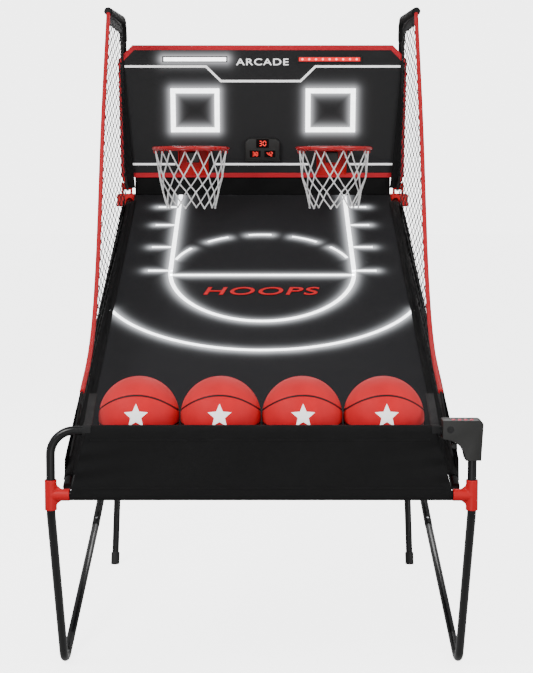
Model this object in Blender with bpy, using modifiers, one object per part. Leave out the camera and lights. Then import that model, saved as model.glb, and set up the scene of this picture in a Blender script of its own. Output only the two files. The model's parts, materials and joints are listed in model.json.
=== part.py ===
"""Home basketball hoop machine: a tube frame, a sloping cloth playfield, two hoops and four balls.

Metres, +Z up. The player stands at -Y, and +X is the player's right. The finished part's origin is
on the floor, in the middle of its bounding box. While it is modelled, Y is measured from the front
rail, and the last step moves everything by ORIGIN.
"""
import math

import bmesh
import bpy
from mathutils import Matrix, Vector

# Driving dimensions of the frame.
TUBE_R = 0.0125
LEG_R = 0.012
TOUCH_GAP = 0.0003
RAIL_X = 0.567
RAIL_Z = 0.746
RAIL_BEND = 0.066
TEE_Z = 0.571
TEE_R = 0.0165
TEE_HALF = 0.0415
TEE_REACH = 0.0515
SOCKET_R = 0.0134
FOOT_X = 0.578
FOOT_Y = 0.31
FOOT_BEND = 0.070
STRUT_X = 0.5685
STRUT_RISE = math.radians(18.6)
STRUT_JOINT = 0.745
STRUT_END = 1.375
REAR_FOOT_Y = 1.40
SIDE_X = 0.543
RAMP_X = 0.527
RAMP_FRONT = (0.018, 0.594)
RAMP_REAR = (1.94, 1.358)
HINGE = (1.96, 1.385)
UPRIGHT_TOP = (1.835, 2.030)
ARM_TIP = (1.30, 2.005)
ARM_BEND = 0.060

# Driving dimensions of the cloth, the board, the hoops and the balls.
CLOTH = 0.003
FIELD_HALF = 0.508
PANEL_HALF = 0.452
STRAP_X = 0.468
STRAP_HALF = 0.011
NET_CORNER = (0.500, 0.154, 0.828)
BOARD_HALF = 0.560
BOARD_LOW = 0.046
BOARD_HIGH = 0.565
BOARD_FRONT = 0.051
BOARD_T = 0.012
BOARD_CUT = 0.055
HOOP_X = 0.272
HOOP_Y = 1.67
HOOP_Z = 1.530
HOOP_R = 0.1405
HOOP_WIRE_R = 0.007
NET_LOW = 1.303
NET_LOW_R = 0.112
BALL_R = 0.112
BALL_PITCH = 0.2262
BALL_Y = 0.135
BOX_FRONT = -0.034
BOX_BACK = 0.022
BUTTON_XS = (0.5135, 0.5296, 0.5457, 0.5618)
BUTTON_Y = -0.017
BOX_TOP = 0.778
BOX_LOW = 0.670
BUTTON_R = 0.0055
ORIGIN = (0.001, 0.976, 0.0)

PART = "basketball_hoop_machine"


def clear_scene():
    for old in list(bpy.data.objects):
        bpy.data.objects.remove(old, do_unlink=True)


def collection(name):
    made = bpy.data.collections.new(name)
    bpy.context.scene.collection.children.link(made)
    return made


def material(name, colour, roughness, metallic=0.0):
    made = bpy.data.materials.new(name)
    made.use_nodes = True
    shader = made.node_tree.nodes["Principled BSDF"]
    shader.inputs["Base Color"].default_value = (*colour, 1.0)
    shader.inputs["Roughness"].default_value = roughness
    shader.inputs["Metallic"].default_value = metallic
    return made


def place(obj, name, paint, home):
    """Names the object, gives it its material and moves it into its collection."""
    obj.name = name
    for owner in list(obj.users_collection):
        owner.objects.unlink(obj)
    home.objects.link(obj)
    if paint:
        obj.data.materials.clear()
        obj.data.materials.append(paint)
    return obj


def side_name(name, side):
    return f"{name}_{'left' if side < 0 else 'right'}"


def ramp_z(y):
    """Height of the playfield's top face."""
    rise = (RAMP_REAR[1] - RAMP_FRONT[1]) / (RAMP_REAR[0] - RAMP_FRONT[0])
    return RAMP_FRONT[1] + rise * (y - RAMP_FRONT[0])


def lean():
    """Angle by which the upper frame leans towards the player."""
    return math.atan2(HINGE[0] - UPRIGHT_TOP[0], UPRIGHT_TOP[1] - HINGE[1])


def upper(x, forward, up):
    """World point from the upper frame's own directions, measured from its hinge."""
    c, s = math.cos(lean()), math.sin(lean())
    return Vector((x, HINGE[0] - s * up - c * forward, HINGE[1] + c * up - s * forward))


def board_y(z):
    """Where the board's front face is at this height."""
    c, s = math.cos(lean()), math.sin(lean())
    return upper(0, BOARD_FRONT, (z - HINGE[1] + s * BOARD_FRONT) / c).y


def bent_path(corners, bend, steps=6):
    """A path through the corners, each inner one rounded by an arc of the bend radius."""
    points = [Vector(corners[0])]
    for before, corner, after in zip(corners, corners[1:], corners[2:]):
        corner = Vector(corner)
        into = (corner - Vector(before)).normalized()
        out = (Vector(after) - corner).normalized()
        turn = into.angle(out)
        reach = bend * math.tan(turn / 2)
        centre = corner + (out - into).normalized() * bend / math.cos(turn / 2)
        start = corner - into * reach - centre
        axis = into.cross(out).normalized()
        for step in range(steps + 1):
            points.append(centre + Matrix.Rotation(turn * step / steps, 3, axis) @ start)
    points.append(Vector(corners[-1]))
    return points


def smooth_path(route, per_span=4):
    """Points along one smooth curve through the route's own points."""
    route = [Vector(p) for p in route]
    padded = [2 * route[0] - route[1], *route, 2 * route[-1] - route[-2]]
    points = []
    for a, b, c, d in zip(padded, padded[1:], padded[2:], padded[3:]):
        for step in range(per_span):
            t = step / per_span
            points.append(
                0.5 * (2 * b + (c - a) * t + (2 * a - 5 * b + 4 * c - d) * t * t
                       + (3 * b - a - 3 * c + d) * t ** 3)
            )
    points.append(route[-1])
    return points


def tube(name, points, radius, paint, home, fineness=3):
    """A round bar along the points, as a bevelled curve with filled ends."""
    curve = bpy.data.curves.new(name, "CURVE")
    curve.dimensions = "3D"
    curve.bevel_depth = radius
    curve.bevel_resolution = fineness
    curve.use_fill_caps = True
    spline = curve.splines.new("POLY")
    spline.points.add(len(points) - 1)
    for slot, point in zip(spline.points, points):
        slot.co = (*point, 1.0)
    return place(bpy.data.objects.new(name, curve), name, paint, home)


def as_mesh(obj, home):
    """The same shape as a welded mesh, ready for a Boolean."""
    graph = bpy.context.evaluated_depsgraph_get()
    data = bpy.data.meshes.new_from_object(obj.evaluated_get(graph))
    work = bmesh.new()
    work.from_mesh(data)
    bmesh.ops.remove_doubles(work, verts=work.verts, dist=0.00001)
    bmesh.ops.recalc_face_normals(work, faces=work.faces)
    work.to_mesh(data)
    work.free()
    name, matrix, paint = obj.name, obj.matrix_world.copy(), obj.data.materials[0]
    bpy.data.objects.remove(obj, do_unlink=True)
    made = place(bpy.data.objects.new(name, data), name, paint, home)
    made.matrix_world = matrix
    return made


def rod(name, start, end, radius, paint, home, sides=16):
    """A straight cylinder between two points."""
    start, end = Vector(start), Vector(end)
    bpy.ops.mesh.primitive_cylinder_add(vertices=sides, radius=radius, depth=(end - start).length)
    obj = bpy.context.object
    obj.matrix_world = Matrix.Translation((start + end) / 2) @ (
        (end - start).to_track_quat("Z", "Y").to_matrix().to_4x4()
    )
    return place(obj, name, paint, home)


def block(name, low, high, paint, home, bevel=0.0):
    """A box between two corners, with softened edges where a bevel is given."""
    bpy.ops.mesh.primitive_cube_add(size=1)
    obj = bpy.context.object
    low, high = Vector(low), Vector(high)
    obj.data.transform(Matrix.Diagonal((*(high - low), 1.0)))
    obj.location = (low + high) / 2
    if bevel:
        rounding = obj.modifiers.new("rounding", "BEVEL")
        rounding.width = bevel
        rounding.segments = 1
    return place(obj, name, paint, home)


def plate(name, outline, matrix, thickness, paint, home, holes=()):
    """A flat outline in its own XY plane, extruded both ways and set by a matrix."""
    curve = bpy.data.curves.new(name, "CURVE")
    curve.dimensions = "2D"
    curve.fill_mode = "BOTH"
    curve.extrude = thickness / 2
    for ring in (outline, *holes):
        spline = curve.splines.new("POLY")
        spline.points.add(len(ring) - 1)
        for slot, (x, y) in zip(spline.points, ring):
            slot.co = (x, y, 0.0, 1.0)
        spline.use_cyclic_u = True
    obj = place(bpy.data.objects.new(name, curve), name, paint, home)
    obj.matrix_world = matrix
    return obj


def facing_x(x):
    """Matrix that lays an outline of (y, z) points in the plane at this x."""
    return Matrix.Translation((x, 0, 0)) @ Matrix(((0, 0, 1, 0), (1, 0, 0, 0), (0, 1, 0, 0), (0, 0, 0, 1)))


def facing_y(y):
    """Matrix that lays an outline of (x, z) points in the plane at this y."""
    return Matrix.Translation((0, y, 0)) @ Matrix.Rotation(math.pi / 2, 4, "X")


def arc(centre, radius, start, end, steps):
    """Points of an arc, with its angles in degrees."""
    angles = [math.radians(start + (end - start) * step / steps) for step in range(steps + 1)]
    return [(centre[0] + radius * math.cos(a), centre[1] + radius * math.sin(a)) for a in angles]


def boolean(obj, tool, kind):
    """Cuts or joins with a tool, which is hidden and kept as a helper."""
    step = obj.modifiers.new(tool.name, "BOOLEAN")
    step.operation = kind
    step.object = tool
    step.solver = "EXACT"
    tool.hide_render = True
    tool.display_type = "WIRE"


def turned(name, profile, paint, home, steps=24):
    """A profile of (radius, height) points turned about Z."""
    data = bpy.data.meshes.new(name)
    points = [(r, 0.0, z) for r, z in profile]
    data.from_pydata(points, [(i, (i + 1) % len(points)) for i in range(len(points))], [])
    obj = place(bpy.data.objects.new(name, data), name, paint, home)
    screw = obj.modifiers.new("turn", "SCREW")
    screw.steps = screw.render_steps = steps
    screw.use_merge_vertices = True
    screw.merge_threshold = 0.0001
    return obj


def attach(obj, empty):
    """Parents an object to an empty and leaves it where it is."""
    bpy.context.view_layer.update()
    obj.parent = empty
    obj.matrix_parent_inverse = empty.matrix_world.inverted()
    return obj


def empty_at(name, point, home):
    made = bpy.data.objects.new(name, None)
    home.objects.link(made)
    made.location = point
    bpy.context.view_layer.update()
    return made


# Front frame ---------------------------------------------------------------------------------

def rail_corners():
    low = TEE_Z + TOUCH_GAP
    return [(-RAIL_X, 0, low), (-RAIL_X, 0, RAIL_Z), (RAIL_X, 0, RAIL_Z), (RAIL_X, 0, low)]


def front_rail(parts, paint):
    tube("front_rail", bent_path(rail_corners(), RAIL_BEND), TUBE_R, paint, parts)


def front_tee(side, parts, cutters, paint):
    """Moulded tee: the rail and the leg meet in its barrel, the cross bar in its branch."""
    x = side * RAIL_X
    inner = side * (RAIL_X - TEE_REACH)
    tee = rod(side_name("front_tee", side), (x, 0, TEE_Z - TEE_HALF), (x, 0, TEE_Z + TEE_HALF),
              TEE_R, paint, parts)
    branch = rod(side_name("tee_branch", side), (inner, 0, TEE_Z), (x, 0, TEE_Z), TEE_R, None, cutters)
    web = plate(side_name("tee_web", side),
                [(x - side * 0.012, TEE_Z - 0.036), (x - side * 0.018, TEE_Z - 0.024),
                 (x - side * 0.030, TEE_Z - 0.014), (x - side * 0.030, TEE_Z + 0.014),
                 (x - side * 0.018, TEE_Z + 0.024), (x - side * 0.012, TEE_Z + 0.036)],
                facing_y(0), 0.010, paint, cutters)
    web = as_mesh(web, cutters)
    bore = rod(side_name("tee_bore", side), (x, 0, TEE_Z - 0.06), (x, 0, TEE_Z + 0.06),
               SOCKET_R, None, cutters)
    cross = rod(side_name("tee_socket", side), (side * 0.4, 0, TEE_Z),
                (x - side * 0.022, 0, TEE_Z), SOCKET_R, None, cutters)
    boolean(tee, branch, "UNION")
    boolean(tee, web, "UNION")
    boolean(tee, bore, "DIFFERENCE")
    boolean(tee, cross, "DIFFERENCE")


def lower_cross_bar(parts, paint):
    reach = RAIL_X - 0.024
    rod("lower_cross_bar", (-reach, 0, TEE_Z), (reach, 0, TEE_Z), TUBE_R, paint, parts)


def strut_line(side, along, above=0.0):
    """A point along a strut's centre line, measured from the foot, and raised square to it."""
    c, s = math.cos(STRUT_RISE), math.sin(STRUT_RISE)
    share = min(1.0, along / STRUT_JOINT)
    x = FOOT_X + (STRUT_X - FOOT_X) * share
    turn = math.atan2(TEE_Z - 0.05, FOOT_Y) + STRUT_RISE
    drop = FOOT_BEND / math.cos(turn / 2) * math.sin((math.pi - turn) / 2 + STRUT_RISE) - FOOT_BEND
    low = TUBE_R - drop
    return Vector((side * x, FOOT_Y + c * along - s * above, low + s * along + c * above))


def front_leg(side, parts, paint):
    x = side * RAIL_X
    corners = [(x, 0, TEE_Z - TOUCH_GAP), (x, 0, TEE_Z - 0.05), strut_line(side, 0.0)]
    upper_part = bent_path(corners, 0.05, 3)[:-1]
    foot = bent_path([corners[1], corners[2], strut_line(side, 0.140)], FOOT_BEND)[1:]
    tube(side_name("front_leg", side), upper_part + foot, TUBE_R, paint, parts)


def snap_pocket(side, along, tube_obj, cutters):
    low = strut_line(side, along, LEG_R - 0.009)
    high = strut_line(side, along, LEG_R + 0.010)
    tool = rod(f"{tube_obj.name}_pocket", low, high, 0.0042, None, cutters, 12)
    boolean(tube_obj, tool, "DIFFERENCE")


def struts(side, parts, cutters, paint, button_paint):
    """Two straight tubes in line, locked where they meet by a sprung button."""
    rod(side_name("strut_lower", side), strut_line(side, 0.1405), strut_line(side, STRUT_JOINT), LEG_R,
        paint, parts)
    rear = rod(side_name("strut_upper", side), strut_line(side, STRUT_JOINT + TOUCH_GAP),
               strut_line(side, STRUT_END), LEG_R, paint, parts)
    along_strut = STRUT_JOINT + 0.030
    snap_pocket(side, along_strut, rear, cutters)
    rod(side_name("snap_button", side), strut_line(side, along_strut, LEG_R - 0.0045),
        strut_line(side, along_strut, LEG_R + 0.0025), 0.0038, button_paint, parts, 12)


def brace_point():
    """Where the strut crosses the rear leg, as (y, z)."""
    base = strut_line(1, 0.0)
    top, _ = leg_line(0)
    slope = (top.y - REAR_FOOT_Y) / top.z
    tan = math.tan(STRUT_RISE)
    y = (REAR_FOOT_Y + slope * (base.z - tan * base.y)) / (1 - slope * tan)
    return y, base.z + tan * (y - base.y)


def leg_line(x):
    """Top of the rear leg's centre line, inside its hinge, and the direction down it."""
    top = Vector((x, HINGE[0] - 0.012, HINGE[1] - 0.064))
    return top, (Vector((x, REAR_FOOT_Y, 0.0)) - top).normalized()


def rear_leg(side, parts, cutters, paints):
    """Rear leg with its rubber foot, and the holes for the bolt that pins the strut beside it."""
    x = side * SIDE_X
    top, axis = leg_line(x)
    end = top + axis * ((top.z - 0.012) / -axis.z)
    leg = rod(side_name("rear_leg", side), end, top, LEG_R, paints["tube"], parts)
    shoe = rod(side_name("rear_foot", side), end + axis * 0.030, end - axis * 0.028, 0.0155,
               paints["rubber"], parts)
    bore = rod(side_name("foot_bore", side), end + axis * 0.0004, end - axis * 0.05, LEG_R + 0.0006,
               None, cutters)
    floor = block(side_name("foot_floor", side), (x - 0.05, end.y - 0.06, -0.08),
                  (x + 0.05, end.y + 0.06, 0.0), None, cutters)
    boolean(shoe, bore, "DIFFERENCE")
    boolean(shoe, floor, "DIFFERENCE")
    y, z = brace_point()
    hole_in = (side * (SIDE_X - 0.05), y, z)
    hole_out = (side * (STRUT_X + 0.05), y, z)
    for name in (leg.name, side_name("strut_upper", side)):
        tool = rod(f"{name}_bolt_hole", hole_in, hole_out, 0.0045, None, cutters, 12)
        boolean(bpy.data.objects[name], tool, "DIFFERENCE")


# Ramp ---------------------------------------------------------------------------------------

def ramp_line(side, y):
    """A point on the centre line of a ramp tube."""
    return Vector((side * RAMP_X, y, ramp_z(y) - 0.016))


def ramp_tube(side, parts, paint):
    rod(side_name("ramp_tube", side), ramp_line(side, 0.034), ramp_line(side, 1.906), TUBE_R, paint,
        parts)


def rear_cross_bar(parts, paint):
    y, reach = 1.930, SIDE_X - 0.0345 - TOUCH_GAP
    rod("rear_cross_bar", (-reach, y, ramp_z(y) - 0.020), (reach, y, ramp_z(y) - 0.020), TUBE_R,
        paint, parts)


def playfield(parts, paint):
    low = Vector((0, RAMP_FRONT[0], RAMP_FRONT[1]))
    high = Vector((0, RAMP_REAR[0], RAMP_REAR[1]))
    sheet = block("playfield", (-FIELD_HALF, 0, -CLOTH), (FIELD_HALF, (high - low).length, 0),
                  paint, parts)
    tilt = Matrix.Rotation(math.atan2(high.z - low.z, high.y - low.y), 4, "X")
    sheet.matrix_world = Matrix.Translation(low) @ tilt @ Matrix.Translation(sheet.location)


def front_panel(parts, paint):
    """Cloth panel with a sleeve round the rail and one round the lower cross bar."""
    sleeve = TUBE_R + 0.0008 + CLOTH
    face = -sleeve
    outline = arc((0, RAIL_Z), sleeve, 180, -70, 12)
    outline += [(face + CLOTH, RAIL_Z - 0.018), (face + CLOTH, TEE_Z + 0.018)]
    outline += arc((0, TEE_Z), sleeve, 70, -180, 12)
    bar = TUBE_R + 0.0008
    holes = [arc((0, z), bar, 0, 345, 23) for z in (RAIL_Z, TEE_Z)]
    plate("front_panel", outline, facing_x(0), 2 * PANEL_HALF, paint, parts, holes)


def net_strap(side, parts, paint):
    """Webbing from the side net's front corner to a loop round the rail."""
    ring = TUBE_R + 0.001
    outline = arc((0, RAIL_Z), ring + 0.0025, 36, 290, 12)
    outline += arc((0, RAIL_Z), ring, 290, 18, 12)
    tip = Vector((NET_CORNER[1] - 0.006, NET_CORNER[2] - 0.006))
    away = (tip - Vector((0, RAIL_Z))).normalized()
    outline += [tuple(tip), tuple(tip + Vector((-away.y, away.x)) * 0.0025)]
    plate(side_name("net_strap", side), outline, facing_x(side * STRAP_X), 2 * STRAP_HALF, paint, parts)


def net_edges():
    """The side net's four edges: front, rear, bottom and top, each a list of points at +X."""
    front = [(0.527, 0.105, 0.655), (0.512, 0.125, 0.740), NET_CORNER, (0.508, 0.391, 0.892),
             (0.515, 0.572, 0.982), (0.522, 0.733, 1.128), (0.528, 0.856, 1.283),
             (0.535, 1.040, 1.602), (0.541, 1.275, 1.960), (0.543, 1.31, 1.985)]
    rear = [(0.530, 1.862, 1.368)]
    rear += [(0.543, board_y(z) - 0.006, z) for z in (1.45, 1.60, 1.75, 1.90, 1.985)]
    bottom = [front[0], (0.527, 1.0, ramp_z(1.0) + 0.006), rear[0]]
    top = [front[-1], (0.543, 1.56, 1.992), rear[-1]]
    return front, rear, bottom, top


def along(points, share):
    """The point a share of the way along a run of straight pieces."""
    points = [Vector(p) for p in points]
    spans = [(b - a).length for a, b in zip(points, points[1:])]
    left = share * sum(spans)
    for start, end, span in zip(points, points[1:], spans):
        if left <= span:
            return start.lerp(end, left / span)
        left -= span
    return points[-1]


def side_net(side, parts, paint, across=9, up=11):
    """A thin lofted sheet between the ramp tube, the arm and the upright."""
    front, rear, bottom, top = net_edges()
    points = []
    for j in range(up + 1):
        v = j / up
        for i in range(across + 1):
            u = i / across
            ruled = along(front, v).lerp(along(rear, v), u) + along(bottom, u).lerp(along(top, u), v)
            corners = Vector(front[0]).lerp(Vector(rear[0]), u).lerp(
                Vector(front[-1]).lerp(Vector(rear[-1]), u), v)
            point = ruled - corners
            points.append((side * point.x, point.y, point.z))
    wide = across + 1
    faces = []
    for j in range(up):
        for i in range(across):
            a = j * wide + i
            faces.append((a, a + 1, a + wide + 1, a + wide))
    data = bpy.data.meshes.new(side_name("side_net", side))
    data.from_pydata(points, [], faces)
    obj = place(bpy.data.objects.new(data.name, data), data.name, paint, parts)
    shell = obj.modifiers.new("cloth", "SOLIDIFY")
    shell.thickness = 0.002
    shell.offset = 0.0


# Hinges and upper frame ------------------------------------------------------------------------

def hinge_lower(side, parts, cutters, paint):
    """Clevis on the ramp's rear corner, which holds the ramp tube and the rear leg."""
    x, (y, z) = side * SIDE_X, HINGE
    body = block(side_name("hinge_lower", side), (x - 0.0345, y - 0.066, z - 0.080),
                 (x + 0.0345, y + 0.026, z - 0.030), paint, parts, 0.004)
    top, axis = leg_line(x)
    leg_socket = rod(f"{body.name}_leg", top - axis * 0.0005, top + axis * 0.1, LEG_R + 0.0006,
                     None, cutters)
    ramp_socket = rod(f"{body.name}_ramp", ramp_line(side, 1.8), ramp_line(side, 1.9065), SOCKET_R, None,
                      cutters)
    boolean(body, leg_socket, "DIFFERENCE")
    boolean(body, ramp_socket, "DIFFERENCE")
    for way in (-1, 1):
        ear_x = x + way * 0.017
        outline = [(y - 0.016, z - 0.034), (y + 0.016, z - 0.034)] + arc((y, z), 0.016, 0, 180, 8)
        ear = plate(f"{body.name}_ear_{way + 1}", outline, facing_x(ear_x), 0.007, paint, cutters)
        boolean(body, as_mesh(ear, cutters), "UNION")
    hole = rod(f"{body.name}_hole", (x - 0.05, y, z), (x + 0.05, y, z), 0.0051, None, cutters, 12)
    boolean(body, hole, "DIFFERENCE")


def hinge_upper(side, parts, cutters, paint):
    """Tongue between the clevis's ears, with the barrel that grips the upright."""
    x, (y, z) = side * SIDE_X, HINGE
    body = rod(side_name("hinge_upper", side), (x - 0.0125, y, z), (x + 0.0125, y, z), 0.015,
               paint, parts)
    barrel = rod(f"{body.name}_barrel", upper(x, 0, 0.020), upper(x, 0, 0.085), 0.0175, None, cutters)
    neck = rod(f"{body.name}_neck", upper(x, 0, 0.001), upper(x, 0, 0.030), 0.0115, None, cutters)
    hole = rod(f"{body.name}_hole", (x - 0.05, y, z), (x + 0.05, y, z), 0.0051, None, cutters, 12)
    socket = rod(f"{body.name}_socket", upper(x, 0, 0.040), upper(x, 0, 0.12), SOCKET_R, None, cutters)
    boolean(body, neck, "UNION")
    boolean(body, barrel, "UNION")
    boolean(body, hole, "DIFFERENCE")
    boolean(body, socket, "DIFFERENCE")
    return body


def cross_pin(name, side, x_in, x_out, point, radius, parts, paint):
    """A pin along X through the pieces that it joins."""
    rod(side_name(name, side), (side * x_in, *point), (side * x_out, *point), radius, paint, parts, 12)


def upright(side, parts, paint):
    """Upright and its forward arm, bent from one tube."""
    x = side * SIDE_X
    corners = [upper(x, 0, 0.0404), (x, *UPRIGHT_TOP), (x, *ARM_TIP)]
    return tube(side_name("upright", side), bent_path(corners, ARM_BEND), TUBE_R, paint, parts)


def board_rail(name, up, parts, paint):
    reach = SIDE_X - TUBE_R - 0.0006
    return rod(name, upper(-reach, 0.018, up), upper(reach, 0.018, up), 0.010, paint, parts)


def backboard(parts, paint):
    """Flat board with its upper corners cut off."""
    wide, low, high, cut, nick = BOARD_HALF, BOARD_LOW, BOARD_HIGH, BOARD_CUT, 0.018
    outline = [(-wide + nick, low), (wide - nick, low), (wide, low + nick), (wide, high - cut),
               (wide - cut, high), (-wide + cut, high), (-wide, high - cut), (-wide, low + nick)]
    tilt = Matrix.Translation((0, *HINGE)) @ Matrix.Rotation(lean(), 4, "X")
    middle = facing_y(-(BOARD_FRONT - BOARD_T / 2))
    return plate("backboard", outline, tilt @ middle, BOARD_T, paint, parts)


def rear_skirt(parts, paint):
    """Cloth that closes the gap between the board's lower edge and the playfield."""
    top = upper(0, BOARD_FRONT - 0.003, BOARD_LOW - 0.004)
    low = (RAMP_REAR[0] - 0.022, ramp_z(RAMP_REAR[0] - 0.022) + 0.004)
    outline = [(top.y, top.z), (top.y + CLOTH, top.z), (low[0] + CLOTH, low[1]), low]
    plate("rear_skirt", outline, facing_x(0), 2 * (FIELD_HALF - 0.008), paint, parts)


# Hoops ----------------------------------------------------------------------------------------

def hoop_ring(side, parts, paint):
    bpy.ops.mesh.primitive_torus_add(major_radius=HOOP_R, minor_radius=HOOP_WIRE_R,
                                     major_segments=32, minor_segments=8,
                                     location=(side * HOOP_X, HOOP_Y, HOOP_Z))
    return place(bpy.context.object, side_name("hoop_ring", side), paint, parts)


def hoop_bracket(side, parts, cutters, paint):
    """Sheet bracket: a back plate, a top plate over the ring and two gussets."""
    x = side * HOOP_X
    half, sheet, shelf = 0.059, 0.003, HOOP_Z + HOOP_WIRE_R + 0.0004
    tilt = Matrix.Translation((x, *HINGE)) @ Matrix.Rotation(lean(), 4, "X")
    low, high = 0.038 + 0.016, 0.168
    outline = [(-half, low), (half, low), (half, high), (-half, high)]
    body = plate(side_name("hoop_bracket", side), outline,
                 tilt @ facing_y(-(BOARD_FRONT + TOUCH_GAP + sheet / 2)), sheet, paint, parts)
    body = as_mesh(body, parts)
    back = board_y(shelf) - 0.0025
    front = HOOP_Y + HOOP_R - 0.020
    top = block(f"{body.name}_top", (x - half, front, shelf), (x + half, back, shelf + sheet),
                None, cutters)
    boolean(body, top, "UNION")
    for way in (-1, 1):
        gusset_x = x + way * (half - sheet / 2 - 0.0002)
        outline = [(HOOP_Y + HOOP_R + 0.006, shelf + 0.001), (board_y(shelf) - 0.002, shelf + 0.001),
                   (board_y(1.435) - 0.002, 1.435), (board_y(1.435) - 0.012, 1.435)]
        gusset = plate(f"{body.name}_gusset_{way + 1}", outline, facing_x(gusset_x), sheet, paint, cutters)
        boolean(body, as_mesh(gusset, cutters), "UNION")
    return body


def hoop_sensor(side, parts, paint):
    x = side * HOOP_X
    return block(side_name("hoop_sensor", side), (x - 0.024, board_y(1.52) - 0.046, 1.478),
                 (x + 0.024, board_y(1.52) - 0.008, 1.520), paint, parts, 0.003)


def hoop_net(side, parts, paint):
    """Open-ended tapered net, as a thin turned wall."""
    top, wall = HOOP_Z - HOOP_WIRE_R - 0.002, 0.003
    middle = (top + NET_LOW) / 2
    profile = [(0.1365, top), (0.124, middle), (NET_LOW_R, NET_LOW), (NET_LOW_R - wall, NET_LOW),
               (0.124 - wall, middle), (0.1365 - wall, top)]
    obj = turned(side_name("hoop_net", side), profile, paint, parts, 20)
    obj.location = (side * HOOP_X, HOOP_Y, 0)
    return obj


def scoreboard(parts, paint):
    tilt = Matrix.Translation((0, *HINGE)) @ Matrix.Rotation(lean(), 4, "X")
    half, low, high, cut, deep = 0.068, 0.112, 0.204, 0.016, 0.020
    outline = [(-half, low), (half, low), (half, high - cut), (half - cut, high),
               (-half + cut, high), (-half, high - cut)]
    case = plate("scoreboard", outline, tilt @ facing_y(-(BOARD_FRONT + TOUCH_GAP + deep / 2)), deep,
                 paint, parts)
    return case


# Control box, balls and cable --------------------------------------------------------------------

def box_outline():
    """The casing seen from the front, hollowed below along the rail's bend."""
    right = arc((0.580, BOX_TOP - 0.012), 0.012, 0, 90, 4)
    under = arc((0.4855, 0.6680), 0.0600, 5, 88, 6)
    return [(0.484, BOX_TOP), (0.484, 0.728), *reversed(under), (0.5455, BOX_LOW),
            (0.5865, BOX_LOW), *right]


def control_box(parts, cutters, paint):
    """Two half shells clamped round the rail's right corner, with pockets for the buttons."""
    channel = as_mesh(tube("box_channel", bent_path(rail_corners(), RAIL_BEND), SOCKET_R, paint, cutters),
                      cutters)
    for name, front, back in (("control_box_front", BOX_FRONT, -TOUCH_GAP),
                              ("control_box_back", TOUCH_GAP, BOX_BACK)):
        shell = plate(name, box_outline(), facing_y((front + back) / 2), back - front, paint, parts)
        shell = as_mesh(shell, parts)
        boolean(shell, channel, "DIFFERENCE")
        if front == BOX_FRONT:
            for number, x in enumerate(BUTTON_XS):
                pocket = rod(f"button_pocket_{number + 1}", (x, BUTTON_Y, BOX_TOP - 0.006),
                             (x, BUTTON_Y, BOX_TOP + 0.01), BUTTON_R + 0.0005, None, cutters)
                boolean(shell, pocket, "DIFFERENCE")


def game_buttons(parts, paint):
    for number, x in enumerate(BUTTON_XS):
        rod(f"game_button_{number + 1}", (x, BUTTON_Y, BOX_TOP - 0.0035), (x, BUTTON_Y, BOX_TOP + 0.0020),
            BUTTON_R, paint, parts)


def clamp_knob(parts, cutters, paint):
    knob = rod("clamp_knob", (0.518, -0.009, 0.7048), (0.518, 0.005, 0.7048), 0.0075, paint, parts)
    stem = rod("clamp_stem", (0.518, 0.003, 0.7048), (0.518, 0.016, 0.7048), 0.003, None, cutters, 12)
    boolean(knob, stem, "UNION")


def balls(parts, paint):
    """Four balls side by side, lying in the trough between the playfield and the front panel."""
    slope = math.atan2(RAMP_REAR[1] - RAMP_FRONT[1], RAMP_REAR[0] - RAMP_FRONT[0])
    z = ramp_z(BALL_Y) + (BALL_R + 0.0006) / math.cos(slope)
    for number in range(4):
        x = (number - 1.5) * BALL_PITCH
        bpy.ops.mesh.primitive_uv_sphere_add(segments=20, ring_count=12, radius=BALL_R,
                                             location=(x, BALL_Y, z))
        place(bpy.context.object, f"ball_{number + 1}", paint, parts)


def control_cable(parts, paint):
    """Thin lead from the control box along the outside of the right ramp tube to the hinge."""
    drop = 0.014
    lead = BOX_TOP - 0.011
    route = [(0.5010, BOX_BACK + 0.0004, lead), (0.5030, 0.045, lead), (0.5200, 0.085, 0.750),
             (0.5400, 0.130, 0.700), (0.5445, 0.200, ramp_z(0.200) - drop),
             (0.5445, 0.600, ramp_z(0.600) - drop), (0.5445, 1.100, ramp_z(1.100) - drop),
             (0.5445, 1.600, ramp_z(1.600) - drop),
             (0.5445, HINGE[0] - 0.0670, ramp_z(HINGE[0] - 0.067) - drop)]
    tube("control_cable", smooth_path(route, 4), 0.0025, paint, parts, 2)


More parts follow.
